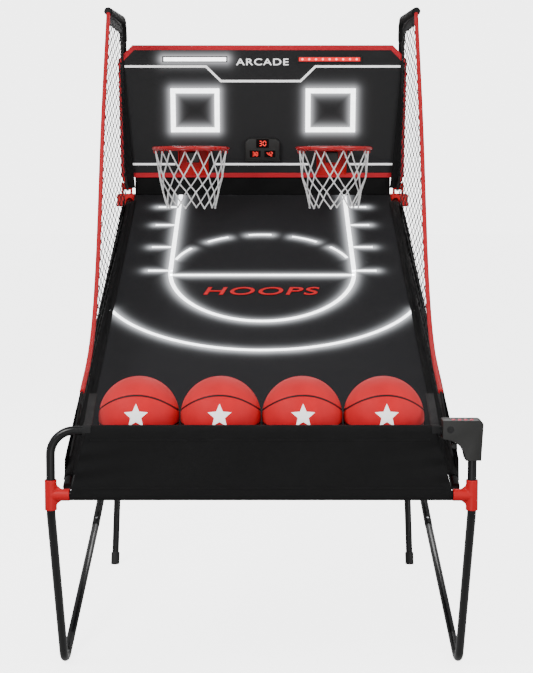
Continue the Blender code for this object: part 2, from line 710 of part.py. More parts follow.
def build():
    clear_scene()
    parts, cutters = collection(PART), collection("cutters")
    cutters.hide_render = True
    paints = {
        "tube": material("gloss_black_tube", (0.012, 0.012, 0.013), 0.25, 0.3),
        "red": material("red_moulding", (0.80, 0.02, 0.02), 0.35),
        "cloth": material("black_cloth", (0.015, 0.015, 0.016), 0.9),
        "field": material("charcoal_cloth", (0.030, 0.030, 0.033), 0.85),
        "net": material("black_netting", (0.05, 0.05, 0.05), 0.9),
        "strap": material("black_webbing", (0.01, 0.01, 0.01), 0.85),
        "rubber": material("black_rubber", (0.015, 0.015, 0.015), 0.8),
        "case": material("black_casing", (0.02, 0.02, 0.018), 0.45),
        "steel": material("zinc_steel", (0.6, 0.6, 0.6), 0.3, 1.0),
        "hoop": material("red_hoop_paint", (0.62, 0.01, 0.012), 0.3, 0.2),
        "cord": material("white_cord", (0.85, 0.85, 0.85), 0.8),
        "board": material("board_face", (0.030, 0.030, 0.033), 0.6),
        "button": material("red_button", (0.75, 0.02, 0.08), 0.4),
        "ball": material("red_ball", (0.80, 0.04, 0.05), 0.6),
    }
    front_rail(parts, paints["tube"])
    lower_cross_bar(parts, paints["tube"])
    rear_cross_bar(parts, paints["tube"])
    playfield(parts, paints["field"])
    front_panel(parts, paints["cloth"])
    rear_skirt(parts, paints["cloth"])
    control_box(parts, cutters, paints["case"])
    game_buttons(parts, paints["button"])
    clamp_knob(parts, cutters, paints["case"])
    control_cable(parts, paints["rubber"])
    balls(parts, paints["ball"])
    swing = empty_at("upper_frame_hinge", (0, *HINGE), parts)
    moving = [board_rail("board_rail_lower", 0.130, parts, paints["tube"]),
              board_rail("board_rail_upper", 0.480, parts, paints["tube"]),
              backboard(parts, paints["board"]), scoreboard(parts, paints["case"])]
    for side in (-1, 1):
        front_tee(side, parts, cutters, paints["red"])
        front_leg(side, parts, paints["tube"])
        struts(side, parts, cutters, paints["tube"], paints["steel"])
        rear_leg(side, parts, cutters, paints)
        ramp_tube(side, parts, paints["tube"])
        net_strap(side, parts, paints["strap"])
        side_net(side, parts, paints["net"])
        hinge_lower(side, parts, cutters, paints["red"])
        cross_pin("hinge_pin", side, SIDE_X - 0.025, SIDE_X + 0.025, HINGE, 0.0045, parts, paints["steel"])
        cross_pin("brace_bolt", side, SIDE_X - 0.019, STRUT_X + 0.019, brace_point(), 0.0038, parts,
                  paints["steel"])
        moving += [hinge_upper(side, parts, cutters, paints["red"]), upright(side, parts, paints["tube"]),
                   hoop_ring(side, parts, paints["hoop"]), hoop_bracket(side, parts, cutters, paints["hoop"]),
                   hoop_sensor(side, parts, paints["case"]), hoop_net(side, parts, paints["cord"])]
    for obj in moving:
        attach(obj, swing)
    for obj in [*parts.objects, *cutters.objects]:
        if not obj.parent:
            obj.matrix_world = Matrix.Translation(-Vector(ORIGIN)) @ obj.matrix_world


build()
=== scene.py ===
import json
import math

import bmesh
import bpy
import numpy as np
from mathutils import Matrix, Vector

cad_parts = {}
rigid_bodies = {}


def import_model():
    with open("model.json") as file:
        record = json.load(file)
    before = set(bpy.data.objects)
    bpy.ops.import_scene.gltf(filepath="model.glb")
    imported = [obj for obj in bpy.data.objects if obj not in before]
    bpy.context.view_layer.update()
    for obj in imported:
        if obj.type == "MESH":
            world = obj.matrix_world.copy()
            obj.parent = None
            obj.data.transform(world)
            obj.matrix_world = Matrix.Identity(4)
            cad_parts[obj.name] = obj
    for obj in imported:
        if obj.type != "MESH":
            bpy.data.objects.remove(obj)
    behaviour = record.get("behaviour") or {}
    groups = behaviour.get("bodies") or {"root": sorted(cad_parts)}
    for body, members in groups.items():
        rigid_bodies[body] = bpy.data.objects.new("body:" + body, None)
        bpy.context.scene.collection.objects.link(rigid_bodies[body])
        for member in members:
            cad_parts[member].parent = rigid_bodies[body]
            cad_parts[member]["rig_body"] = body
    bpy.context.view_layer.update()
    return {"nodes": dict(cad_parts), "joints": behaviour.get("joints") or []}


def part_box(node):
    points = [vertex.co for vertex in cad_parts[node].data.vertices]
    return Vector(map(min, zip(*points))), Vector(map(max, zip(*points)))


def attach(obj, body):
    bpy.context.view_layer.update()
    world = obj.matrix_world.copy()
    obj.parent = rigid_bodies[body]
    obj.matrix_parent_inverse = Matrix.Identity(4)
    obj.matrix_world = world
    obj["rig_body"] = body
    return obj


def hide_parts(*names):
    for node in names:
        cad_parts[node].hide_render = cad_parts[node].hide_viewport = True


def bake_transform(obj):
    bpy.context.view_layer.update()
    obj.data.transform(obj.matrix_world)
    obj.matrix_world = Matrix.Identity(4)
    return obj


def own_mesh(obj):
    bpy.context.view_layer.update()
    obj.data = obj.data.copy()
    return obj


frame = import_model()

BASE, UPPER, FOLD = "base_frame", "upper_frame", "upper_frame_fold"
SIDES = ((-1, "left"), (1, "right"))

# Reference lines of the frame, read from its nodes where they can be. The other figures repeat the CAD
# model's own. All lengths in this file are in metres.
rail_low, rail_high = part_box("front_rail")
field_low, field_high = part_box("playfield")
X0 = (field_low.x + field_high.x) / 2
Y0 = (rail_low.y + rail_high.y) / 2
TUBE_R = (rail_high.y - rail_low.y) / 2 + 0.0003
RAIL_Z = rail_high.z - TUBE_R
fold = [j for j in frame["joints"] if j["name"] == FOLD][0]
HINGE = Vector((X0, fold["pos_m"][1], fold["pos_m"][2]))
FIELD_FRONT = Vector((X0, Y0 + 0.018, 0.594))
FIELD_REAR = Vector((X0, Y0 + 1.94, 1.358))
FIELD_HALF = (field_high.x - field_low.x) / 2
UPRIGHT_TOP = Vector((0, Y0 + 1.835, 2.030))
ARM_TIP = Vector((0, Y0 + 1.30, 2.005))
SIDE_X = 0.543  # uprights, arms and nets, from the middle
LEG_X, TEE_Z = 0.567, 0.571  # front legs, and the cross bar between their tees
BOARD_FRONT = 0.051
HOOP_R, HOOP_WIRE_R = 0.1405, 0.007
ARM_BEND, RAIL_BEND = 0.060, 0.066
WELD = 0.00002  # vertices closer than this are one
CLOTH_GAP = 0.0022  # from a tube's surface to the cloth round it


def at(x, y, z):
    """A point given from the middle of the front rail, on the floor."""
    return Vector((X0 + x, Y0 + y, z))


def lean():
    """How far the uprights lean back from the vertical, in radians."""
    return math.atan2(HINGE.y - UPRIGHT_TOP.y, UPRIGHT_TOP.z - HINGE.z)


def board_matrix(forward=BOARD_FRONT):
    """Plane of the board: its X runs across, its Y up the board and its Z towards the player."""
    s, c = math.sin(lean()), math.cos(lean())
    turn = Matrix(((1, 0, 0), (0, -s, -c), (0, c, -s))).to_4x4()
    return Matrix.Translation(HINGE) @ turn @ Matrix.Translation((0, 0, forward))


def field_matrix(above=0.0):
    """Plane of the playfield: its X runs across, its Y up the slope from the front edge."""
    slope = math.atan2(FIELD_REAR.z - FIELD_FRONT.z, FIELD_REAR.y - FIELD_FRONT.y)
    return (Matrix.Translation(FIELD_FRONT) @ Matrix.Rotation(slope, 4, "X")
            @ Matrix.Translation((0, 0, above)))


def ramp_z(y):
    """Height of the playfield at a world Y."""
    share = (y - FIELD_FRONT.y) / (FIELD_REAR.y - FIELD_FRONT.y)
    return FIELD_FRONT.z + share * (FIELD_REAR.z - FIELD_FRONT.z)


# Materials --------------------------------------------------------------------------------------

class Paint:
    """Short helpers round one material's node tree."""

    def __init__(self, name, colour, roughness, metallic=0.0):
        self.made = bpy.data.materials.new(name)
        self.made.use_nodes = True
        self.tree = self.made.node_tree
        self.shader = self.tree.nodes["Principled BSDF"]
        self.shader.inputs["Base Color"].default_value = (*colour, 1)
        self.shader.inputs["Roughness"].default_value = roughness
        self.shader.inputs["Metallic"].default_value = metallic
        self.place = self.node("ShaderNodeTexCoord").outputs["Object"]
        self.normal = None
        self.colour = colour

    def feed(self, slot, value):
        """Links a node's output to an input, or sets the input to a number or a colour."""
        if isinstance(value, bpy.types.NodeSocket):
            self.tree.links.new(value, slot)
        else:
            slot.default_value = (*value, 1) if isinstance(value, tuple) else value

    def node(self, kind, inputs=(), **settings):
        made = self.tree.nodes.new(kind)
        for key, value in settings.items():
            setattr(made, key, value)
        for key, value in dict(inputs).items():
            self.feed(made.inputs[key], value)
        return made

    def maths(self, operation, a, b=0.0):
        return self.node("ShaderNodeMath", {0: a, 1: b}, operation=operation).outputs[0]

    def noise(self, scale, detail=3.0, roughness=0.5):
        inputs = {"Scale": scale, "Detail": detail, "Roughness": roughness, "Vector": self.place}
        return self.node("ShaderNodeTexNoise", inputs).outputs["Fac"]

    def ramp(self, source, low, high, start=0.35, end=0.65):
        inputs = {"From Min": start, "From Max": end, "To Min": low, "To Max": high, "Value": source}
        return self.node("ShaderNodeMapRange", inputs).outputs["Result"]

    def mix(self, share, first, second):
        inputs = {"Factor": share, "A": first, "B": second}
        return self.node("ShaderNodeMix", inputs, data_type="RGBA").outputs["Result"]

    def vary(self, amount, scale=9.0):
        """Uneven colour and roughness, as wear and dust give."""
        field = self.noise(scale, 5.0, 0.6)
        dark = tuple(c * (1 - amount) for c in self.colour)
        light = tuple(min(1.0, c * (1 + amount) + 0.004 * amount) for c in self.colour)
        base = self.shader.inputs["Roughness"].default_value
        self.feed(self.shader.inputs["Base Color"], self.mix(self.ramp(field, 0, 1), dark, light))
        self.feed(self.shader.inputs["Roughness"],
                  self.ramp(field, max(0.03, base - 0.08), min(1, base + 0.08)))
        return self

    def bump(self, source, strength, distance):
        inputs = {"Strength": strength, "Distance": distance, "Height": source}
        if self.normal is not None:
            inputs["Normal"] = self.normal
        self.normal = self.node("ShaderNodeBump", inputs).outputs["Normal"]
        self.feed(self.shader.inputs["Normal"], self.normal)
        return self

    def weave(self, pitch, strength=0.5):
        """Over-and-under yarns along two directions."""
        split = self.node("ShaderNodeSeparateXYZ", {0: self.place})
        across = self.maths("SINE", self.maths("MULTIPLY", split.outputs["X"], 2 * math.pi / pitch))
        down = self.maths("ADD", split.outputs["Y"], split.outputs["Z"])
        down = self.maths("SINE", self.maths("MULTIPLY", down, 2 * math.pi / pitch))
        return self.bump(self.maths("MULTIPLY", across, down), strength, pitch * 0.3)

    def grain(self, scale, strength, distance):
        return self.bump(self.noise(scale, 4.0, 0.55), strength, distance)

    def glow(self, attribute, colour, strength):
        """Light that shows through the cloth, as strong as the mesh's own values say."""
        value = self.node("ShaderNodeAttribute", attribute_name=attribute).outputs["Fac"]
        self.feed(self.shader.inputs["Emission Color"], colour)
        self.feed(self.shader.inputs["Emission Strength"], self.maths("MULTIPLY", value, strength))
        return self

    def set(self, **values):
        for key, value in values.items():
            self.shader.inputs[key.replace("_", " ")].default_value = value
        return self


def emitter(name, colour, strength):
    """Lit plastic: a bright core with the diffuser's faint mottle."""
    paint = Paint(name, colour, 0.4)
    paint.feed(paint.shader.inputs["Emission Color"], colour)
    paint.feed(paint.shader.inputs["Emission Strength"],
               paint.ramp(paint.noise(60.0), strength * 0.92, strength * 1.08))
    return paint.grain(900.0, 0.1, 0.0002).made


BALL_R = 0.112
BALL_TILT = 0.168  # turn of each ball that brings its seams and star to the player
SEAM_HIGH, SEAM_FALL = 0.50, 0.36  # the curved seam: height = SEAM_HIGH - SEAM_FALL * x * x, in radii


def ball_paint():
    """Pebbled rubber with dark seams, worked out from the ball's own shape, with a painted sheen: a paler
    red at grazing angles.
    """
    paint = Paint("ball_rubber", (0.70, 0.001, 0.010), 0.62)
    split = paint.node("ShaderNodeSeparateXYZ", {0: paint.place})
    x, y, z = (paint.maths("DIVIDE", split.outputs[k], BALL_R) for k in "XYZ")
    bulge = paint.maths("MULTIPLY", paint.maths("MULTIPLY", x, x), SEAM_FALL)
    loop = paint.maths("SUBTRACT", SEAM_HIGH, bulge)
    side = paint.maths("ABSOLUTE", paint.maths("SUBTRACT", paint.maths("ABSOLUTE", z), loop))
    seam = paint.maths("MINIMUM", side, paint.maths("ABSOLUTE", y))
    dark = paint.ramp(seam, 1.0, 0.0, 0.014, 0.030)
    shade = paint.mix(paint.ramp(paint.noise(14.0, 5.0), 0, 1), (0.64, 0.0, 0.008), (0.74, 0.002, 0.012))
    # Painted sheen: the base colour turns a paler red where the ball is seen at a grazing angle, so it
    # follows the camera.
    painted_sheen_weight = paint.node("ShaderNodeLayerWeight", {"Blend": 0.22})
    shade = paint.mix(paint.maths("MULTIPLY", painted_sheen_weight.outputs["Facing"], 0.45), shade, (0.80, 0.16, 0.15))
    paint.feed(paint.shader.inputs["Base Color"], paint.mix(dark, shade, (0.012, 0.008, 0.008)))
    cells = paint.node("ShaderNodeTexVoronoi", {"Scale": 420.0, "Vector": paint.place})
    paint.bump(cells.outputs["Distance"], 0.35, 0.0008)
    paint.bump(dark, 0.6, -0.0012)
    return paint.set(Specular_IOR_Level=0.3).made


def make_paints():
    """Every material by its short name, all procedural."""
    return {
        "tube": Paint("tube_black", (0.005, 0.005, 0.0055), 0.30).vary(0.25).grain(700, 0.12, 0.0003)
        .set(Coat_Weight=0.1, Coat_Roughness=0.2, Specular_IOR_Level=0.3).made,
        "red": Paint("red_moulding", (0.56, 0.0, 0.004), 0.42).vary(0.06).grain(1400, 0.15, 0.0002)
        .set(Specular_IOR_Level=0.35).made,
        "hoop": Paint("hoop_red", (0.52, 0.0, 0.004), 0.26).vary(0.08).grain(500, 0.1, 0.0003)
        .set(Coat_Weight=0.6, Coat_Roughness=0.1).made,
        "steel": Paint("zinc", (0.55, 0.56, 0.58), 0.3, 1.0).vary(0.1, 60).grain(800, 0.1, 0.0002).made,
        "rubber": Paint("foot_rubber", (0.012, 0.012, 0.012), 0.7).vary(0.2).grain(300, 0.3, 0.0004).made,
        "case": Paint("casing_black", (0.011, 0.011, 0.010), 0.45).vary(0.15).grain(1600, 0.4, 0.0003).made,
        "cable": Paint("cable_jacket", (0.010, 0.010, 0.010), 0.45).vary(0.1).grain(900, 0.2, 0.0002).made,
        "field": Paint("field_cloth", (0.016, 0.016, 0.018), 0.85).vary(0.10, 5).weave(0.0016, 0.35)
        .grain(40, 0.1, 0.002).glow("glow", (0.93, 0.96, 1.0), 3.0).set(Specular_IOR_Level=0.25).made,
        "board": Paint("board_cloth", (0.017, 0.017, 0.018), 0.72).vary(0.10, 6).weave(0.0012, 0.3)
        .glow("glow", (0.95, 0.96, 1.0), 3.0).set(Specular_IOR_Level=0.3).made,
        "board_back": Paint("board_back", (0.030, 0.027, 0.024), 0.75).vary(0.2, 30)
        .grain(220, 0.3, 0.0005).made,
        "panel": Paint("panel_cloth", (0.0035, 0.0035, 0.0038), 0.75).vary(0.2, 4).weave(0.0014, 0.6)
        .grain(30, 0.16, 0.003).set(Specular_IOR_Level=0.22).made,
        "net": Paint("side_netting", (0.008, 0.008, 0.008), 0.7).vary(0.2, 30).grain(1500, 0.3, 0.0003).made,
        "trim": Paint("red_binding", (0.56, 0.0, 0.008), 0.6).vary(0.08, 20).weave(0.0010, 0.5).made,
        "webbing": Paint("black_webbing", (0.006, 0.006, 0.0065), 0.7).vary(0.15, 25)
        .weave(0.0022, 0.8).made,
        "cord": Paint("white_cord", (0.95, 0.95, 0.95), 0.65).vary(0.04, 40).weave(0.0030, 0.6).made,
        # White print with a painted glow: its emission of 0.8 makes it brighter than the lamps alone light
        # it.
        "print_white_painted_glow": Paint("white_print_painted_glow", (0.92, 0.92, 0.92), 0.5).vary(0.03, 40).weave(0.0012, 0.25)
        .set(Emission_Color=(1, 1, 1, 1), Emission_Strength=0.8).made,
        "print_red": Paint("red_print", (0.80, 0.004, 0.010), 0.5).vary(0.06, 20).weave(0.0012, 0.3).made,
        "border": Paint("red_edging", (0.60, 0.001, 0.014), 0.55).vary(0.06, 12).weave(0.0012, 0.25).made,
        "lit_white": emitter("lit_white", (0.96, 0.98, 1.0), 4.0),
        "lit_red": emitter("lit_red", (0.9, 0.004, 0.008), 0.9),
        "dot_red": emitter("dot_red", (1.0, 0.25, 0.25), 2.5),
        "digit": emitter("digit_red", (1.0, 0.04, 0.03), 2.2),
        "window": Paint("smoked_window", (0.004, 0.001, 0.001), 0.5).vary(0.1, 60).grain(300, 0.03, 0.0002)
        .set(Specular_IOR_Level=0.1).made,
        "button": Paint("soft_button", (0.78, 0.015, 0.07), 0.35).vary(0.08, 80).grain(1200, 0.15, 0.0002)
        .set(Coat_Weight=0.3).made,
        "ball": ball_paint(),
        "floor": Paint("floor", (0.90, 0.90, 0.90), 0.8)
        .set(Emission_Color=(1, 1, 1, 1), Emission_Strength=3.9).made,
        "backdrop": Paint("backdrop", (0.90, 0.90, 0.90), 0.9)
        .set(Emission_Color=(1, 1, 1, 1), Emission_Strength=4.0).made,
    }


# Making pieces ----------------------------------------------------------------------------------

def piece(name, data, paint, body, stands_for=(), smooth=True):
    """Adds the object, finishes it and makes it ride on its body."""
    obj = bpy.data.objects.new(name, data)
    bpy.context.scene.collection.objects.link(obj)
    obj.data.materials.clear()
    obj.data.materials.append(paint)
    if smooth and isinstance(data, bpy.types.Mesh):
        data.shade_smooth()
        data.set_sharp_from_angle(angle=math.radians(38))
    if body:
        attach(obj, body)
    if stands_for:
        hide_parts(*stands_for)
    return obj


def mesh_of(points, faces, name):
    """A mesh from lists of points and faces."""
    data = bpy.data.meshes.new(name)
    data.from_pydata([tuple(p) for p in points], [], faces)
    data.update()
    return data


def finished_mesh(work, name):
    """A new mesh from a bmesh, which is then freed."""
    data = bpy.data.meshes.new(name)
    work.to_mesh(data)
    work.free()
    return data


def outward(data):
    """The same mesh with its faces turned to point outwards."""
    work = bmesh.new()
    work.from_mesh(data)
    bmesh.ops.recalc_face_normals(work, faces=work.faces)
    work.to_mesh(data)
    work.free()
    return data


def turned(name, profile, sides, weld=WELD):
    """A solid turned about the Z axis from (radius, height) points."""
    work = bmesh.new()
    verts = [work.verts.new((r, 0, z)) for r, z in profile]
    edges = [work.edges.new(pair) for pair in zip(verts, verts[1:])]
    bmesh.ops.spin(work, geom=[*verts, *edges], cent=(0, 0, 0), axis=(0, 0, 1), angle=2 * math.pi,
                   steps=sides, use_duplicate=False)
    bmesh.ops.remove_doubles(work, verts=work.verts, dist=weld)
    bmesh.ops.recalc_face_normals(work, faces=work.faces)
    return finished_mesh(work, name)


def grid_faces(rows, columns, flipped=False):
    """Quads over points that are listed row by row."""
    faces = []
    for j in range(rows - 1):
        for i in range(columns - 1):
            a = j * columns + i
            face = (a, a + 1, a + columns + 1, a + columns)
            faces.append((face[0], *face[:0:-1]) if flipped else face)
    return faces


def surface(name, rows, columns, place, flipped=False):
    """Quads whose corner in each row and column is place(row, column)."""
    points = [place(j, i) for j in range(rows + 1) for i in range(columns + 1)]
    return mesh_of(points, grid_faces(rows + 1, columns + 1, flipped), name)


def applied(obj):
    """Bakes an object's modifiers into its mesh."""
    bpy.context.view_layer.update()
    graph = bpy.context.evaluated_depsgraph_get()
    data = bpy.data.meshes.new_from_object(obj.evaluated_get(graph))
    old = obj.data
    obj.modifiers.clear()
    obj.data = data
    if old.users == 0:
        bpy.data.meshes.remove(old)
    return obj


def bent_path(corners, bend, steps):
    """A line through the corners, each rounded to the bend's radius."""
    points = [Vector(corners[0])]
    for before, corner, after in zip(corners, corners[1:], corners[2:]):
        corner = Vector(corner)
        into = (corner - Vector(before)).normalized()
        out = (Vector(after) - corner).normalized()
        turn = into.angle(out)
        reach = bend * math.tan(turn / 2)
        centre = corner + (out - into).normalized() * bend / math.cos(turn / 2)
        start = corner - into * reach - centre
        axis = into.cross(out).normalized()
        for step in range(steps + 1):
            points.append(centre + Matrix.Rotation(turn * step / steps, 3, axis) @ start)
    points.append(Vector(corners[-1]))
    return points


def curve_data(name, paths, radius, fineness, cyclic):
    """A round-sectioned curve along each of the paths."""
    curve = bpy.data.curves.new(name, "CURVE")
    curve.dimensions = "3D"
    curve.bevel_depth = radius
    curve.bevel_resolution = fineness
    curve.use_fill_caps = True
    for points in paths:
        spline = curve.splines.new("POLY")
        spline.points.add(len(points) - 1)
        for slot, point in zip(spline.points, points):
            slot.co = (*point, 1.0)
        spline.use_cyclic_u = cyclic
        spline.use_smooth = True
    return curve


def converted(curve):
    """The mesh of a curve or a text, which is then removed."""
    holder = bpy.data.objects.new(curve.name, curve)
    bpy.context.scene.collection.objects.link(holder)
    graph = bpy.context.evaluated_depsgraph_get()
    data = bpy.data.meshes.new_from_object(holder.evaluated_get(graph))
    bpy.data.objects.remove(holder, do_unlink=True)
    bpy.data.curves.remove(curve)
    return data


def tube_mesh(name, paths, radius, fineness, cyclic=False):
    """Tubes along the paths, as one mesh with welded ends."""
    work = bmesh.new()
    work.from_mesh(converted(curve_data(name, paths, radius, fineness, cyclic)))
    bmesh.ops.remove_doubles(work, verts=work.verts, dist=WELD)
    bmesh.ops.recalc_face_normals(work, faces=work.faces)
    return finished_mesh(work, name)


def smooth_through(route, per_span):
    """A smooth line through every point of a route."""
    route = [Vector(p) for p in route]
    padded = [2 * route[0] - route[1], *route, 2 * route[-1] - route[-2]]
    points = []
    for a, b, c, d in zip(padded, padded[1:], padded[2:], padded[3:]):
        for step in range(per_span):
            t = step / per_span
            points.append(0.5 * (2 * b + (c - a) * t + (2 * a - 5 * b + 4 * c - d) * t * t
                                 + (3 * b - a - 3 * c + d) * t ** 3))
    return [*points, route[-1]]


def rod_line(node):
    """The two ends of a straight rod's centre line, and its radius, from its CAD mesh."""
    points = np.array([v.co for v in frame["nodes"][node].data.vertices])
    middle = points.mean(0)
    way = np.linalg.svd(points - middle, full_matrices=False)[2][0]
    reach = (points - middle) @ way
    first = points[reach < reach.min() + 0.0005].mean(0)
    last = points[reach > reach.max() - 0.0005].mean(0)
    way = (last - first) / np.linalg.norm(last - first)
    off = points - first
    off = off - np.outer(off @ way, way)
    return Vector(first), Vector(last), float(np.linalg.norm(off, axis=1).max())


def finished_rod(node, paint, body, edge=0.0008, sides=40):
    """A smooth rod with softened rims in place of a faceted CAD rod."""
    first, last, radius = rod_line(node)
    length = (last - first).length
    profile = [(0, 0), (radius - edge, 0), (radius - edge * 0.3, edge * 0.3), (radius, edge),
               (radius, length - edge), (radius - edge * 0.3, length - edge * 0.3),
               (radius - edge, length), (0, length)]
    data = turned(node, profile, sides)
    data.transform(Matrix.Translation(first) @ (last - first).to_track_quat("Z", "Y").to_matrix().to_4x4())
    return piece(f"{node}_finish", data, paint, body, (node,))


def cad_copy(node):
    """A welded copy of a CAD node's mesh, with its flat faces merged."""
    work = bmesh.new()
    work.from_mesh(frame["nodes"][node].data)
    bmesh.ops.remove_doubles(work, verts=work.verts, dist=WELD)
    bmesh.ops.dissolve_limit(work, angle_limit=math.radians(1), verts=work.verts, edges=work.edges)
    return finished_mesh(work, node)


def edged(node, paint, body, width, segments=3):
    """The CAD shape with rounded edges."""
    obj = piece(f"{node}_finish", cad_copy(node), paint, body, (node,))
    rounding = obj.modifiers.new("rounding", "BEVEL")
    rounding.width = width
    rounding.segments = segments
    rounding.angle_limit = math.radians(35)
    rounding.use_clamp_overlap = True
    applied(obj)
    obj.data.shade_smooth()
    obj.data.set_sharp_from_angle(angle=math.radians(40))
    return obj


def moulded(node, paint, body, voxel, rounds):
    """The CAD shape as one soft moulding with blended corners."""
    obj = piece(f"{node}_finish", cad_copy(node), paint, body, (node,))
    skin = obj.modifiers.new("skin", "REMESH")
    skin.mode = "VOXEL"
    skin.voxel_size = voxel
    skin.use_smooth_shade = True
    relax = obj.modifiers.new("relax", "SMOOTH")
    relax.factor = 0.5
    relax.iterations = rounds
    applied(obj)
    obj.data.shade_smooth()
    return obj


def cloth(name, data, paint, body, thickness, offset=-1.0, stands_for=()):
    """Black cloth with both its sides, made from a single surface."""
    obj = piece(name, data, paint["panel"], body, stands_for)
    sides = obj.modifiers.new("cloth", "SOLIDIFY")
    sides.thickness = thickness
    sides.offset = offset
    applied(obj)
    obj.data.shade_smooth()
    return obj


def strip(name, line, width, plane, thickness, paint, body, cyclic=False, raised=0.0):
    """A flat strip of even width along a line in a plane, standing up by its thickness."""
    line = [Vector((*p, 0)) for p in line]
    count = len(line)
    rails = [[], []]
    for k, point in enumerate(line):
        before = line[k - 1] if (k or cyclic) else None
        after = line[(k + 1) % count] if (k + 1 < count or cyclic) else None
        first = (point - before).normalized() if before is not None else None
        second = (after - point).normalized() if after is not None else None
        first, second = first or second, second or first
        middle = (first + second).normalized()
        normal = Vector((-middle.y, middle.x, 0))
        stretch = 1 / max(0.35, normal.dot(Vector((-first.y, first.x, 0))))
        for rail, sign in zip(rails, (1, -1)):
            rail.append(point + normal * sign * stretch * width / 2)
    points, faces = [], []
    for z in (raised, raised + thickness):
        points += [p + Vector((0, 0, z)) for p in (*rails[0], *rails[1])]
    top = 2 * count
    for k in range(count if cyclic else count - 1):
        n = (k + 1) % count
        a, b, c, d = k, n, count + n, count + k
        faces += [(a, b, c, d), (d + top, c + top, b + top, a + top),
                  (a, a + top, b + top, b), (c, c + top, d + top, d)]
    if not cyclic:
        faces += [(0, count, count + top, top),
                  (count - 1, count - 1 + top, 2 * count - 1 + top, 2 * count - 1)]
    data = mesh_of(points, faces, name)
    data.transform(plane)
    return piece(name, outward(data), paint, body, smooth=False)


def joined(name, parts):
    """Joins pieces into the first, which keeps its body and slot."""
    first = parts[0]
    with bpy.context.temp_override(active_object=first, selected_editable_objects=parts):
        bpy.ops.object.join()
    first.name = name
    return first


LETTER_WIDE = 1.35  # stretch of the lettering across


def word(name, text, size, plane, paint, body, slant=0.0):
    """Raised lettering, centred in its plane."""
    curve = bpy.data.curves.new(name, "FONT")
    curve.body = text
    curve.size = size
    curve.align_x, curve.align_y = "CENTER", "CENTER"
    curve.extrude = 0.0004
    curve.offset = size * 0.012
    curve.shear = slant
    curve.space_character = 1.12
    data = converted(curve)
    data.transform(plane @ Matrix.Diagonal((LETTER_WIDE, 1.0, 1.0, 1.0)))
    return piece(name, data, paint, body, smooth=False)


def arc_line(centre, wide, high, start, end, steps=40):
    """Points of an ellipse's arc, with its angles in degrees."""
    angles = [math.radians(start + (end - start) * k / steps) for k in range(steps + 1)]
    return [(centre[0] + wide * math.cos(a), centre[1] + high * math.sin(a)) for a in angles]


def spread(points, lines, reach):
    """How strongly each (x, y) point is lit by the lines near it."""
    light = np.zeros(len(points))
    for line, half in lines:
        for a, b in zip(line, line[1:]):
            a, b = np.array(a), np.array(b)
            share = np.clip(((points - a) @ (b - a)) / ((b - a) @ (b - a)), 0, 1)
            away = np.linalg.norm(points - a - share[:, None] * (b - a), axis=1)
            light = np.maximum(light, np.exp(-np.maximum(0, away - half) / reach))
    return light


GLOW_SHARE, GLOW_REACH = 0.30, 0.011  # how bright cloth is beside a lit line, and how fast that fades


def lit_cloth(name, low, high, pitch, shape, plane, lines, thickness):
    """A closed sheet in a plane, finely divided, which keeps how brightly each point is lit."""
    nx = max(2, round((high[0] - low[0]) / pitch))
    ny = max(2, round((high[1] - low[1]) / pitch))
    xs, ys = np.linspace(low[0], high[0], nx + 1), np.linspace(low[1], high[1], ny + 1)
    gx, gy = (g.ravel() for g in np.meshgrid(xs, ys))
    flat = np.stack([gx, gy], 1)
    top = np.column_stack([gx, gy, shape(gx, gy)])
    under = top - np.array([0, 0, thickness])
    wide, size = nx + 1, len(top)
    faces = grid_faces(ny + 1, wide)
    faces += [tuple(corner + size for corner in face) for face in grid_faces(ny + 1, wide, True)]
    rim = [*range(nx), *(j * wide + nx for j in range(ny)), *(ny * wide + i for i in range(nx, 0, -1)),
           *(j * wide for j in range(ny, 0, -1))]
    for a, b in zip(rim, [*rim[1:], rim[0]]):
        faces.append((a, a + size, b + size, b))
    data = mesh_of(np.vstack([top, under]), faces, name)
    light = GLOW_SHARE * spread(flat, lines, GLOW_REACH)
    glow = data.attributes.new("glow", "FLOAT", "POINT")
    glow.data.foreach_set("value", np.concatenate([light, np.zeros(size)]).astype(np.float32))
    data.transform(plane)
    return data


# The frame's tubes, fittings and feet ------------------------------------------------------------

def build_tubes(paint):
    """Smooth gloss tubes over the straight and bent rods of the CAD model."""
    tubes = ("strut_lower", "strut_upper", "ramp_tube", "lower_cross_bar", "rear_cross_bar",
             "board_rail", "rear_leg")
    for node in sorted(frame["nodes"]):
        body = frame["nodes"][node]["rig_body"]
        if node.startswith(tubes):
            finished_rod(node, paint["tube"], body)
        elif node.startswith(("hinge_pin", "brace_bolt")):
            finished_rod(node, paint["steel"], body, edge=0.0006, sides=28)
        elif node.startswith("rear_foot"):
            edged(node, paint["rubber"], body, 0.002)
    rail = bent_path([at(-LEG_X, 0, TEE_Z), at(-LEG_X, 0, RAIL_Z), at(LEG_X, 0, RAIL_Z),
                      at(LEG_X, 0, TEE_Z)], RAIL_BEND, 20)
    rail[0].z = rail[-1].z = rail_low.z
    piece("front_rail_finish", tube_mesh("front_rail", [rail], TUBE_R, 8), paint["tube"], BASE,
          ("front_rail",))
    for side, label in SIDES:
        front_leg(side, label, paint)
        across = Vector((X0 + side * SIDE_X, 0, 0))
        hinge = Vector((0, HINGE.y, HINGE.z))
        arm = bent_path([across + place for place in (hinge, UPRIGHT_TOP, ARM_TIP)], ARM_BEND, 20)
        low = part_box(f"upright_{label}")[0]
        first = arm[0]
        way = (arm[1] - arm[0]).normalized()
        arm[0] = first + way * max(0.0, (low.z - first.z) / way.z)
        piece(f"upright_{label}_finish", tube_mesh("upright", [arm], TUBE_R, 8), paint["tube"], UPPER,
              (f"upright_{label}",))


STRUT_START = 0.1405  # from the leg's line to the strut's first end
LEG_TOP_BEND, LEG_FOOT_BEND = 0.05, 0.070


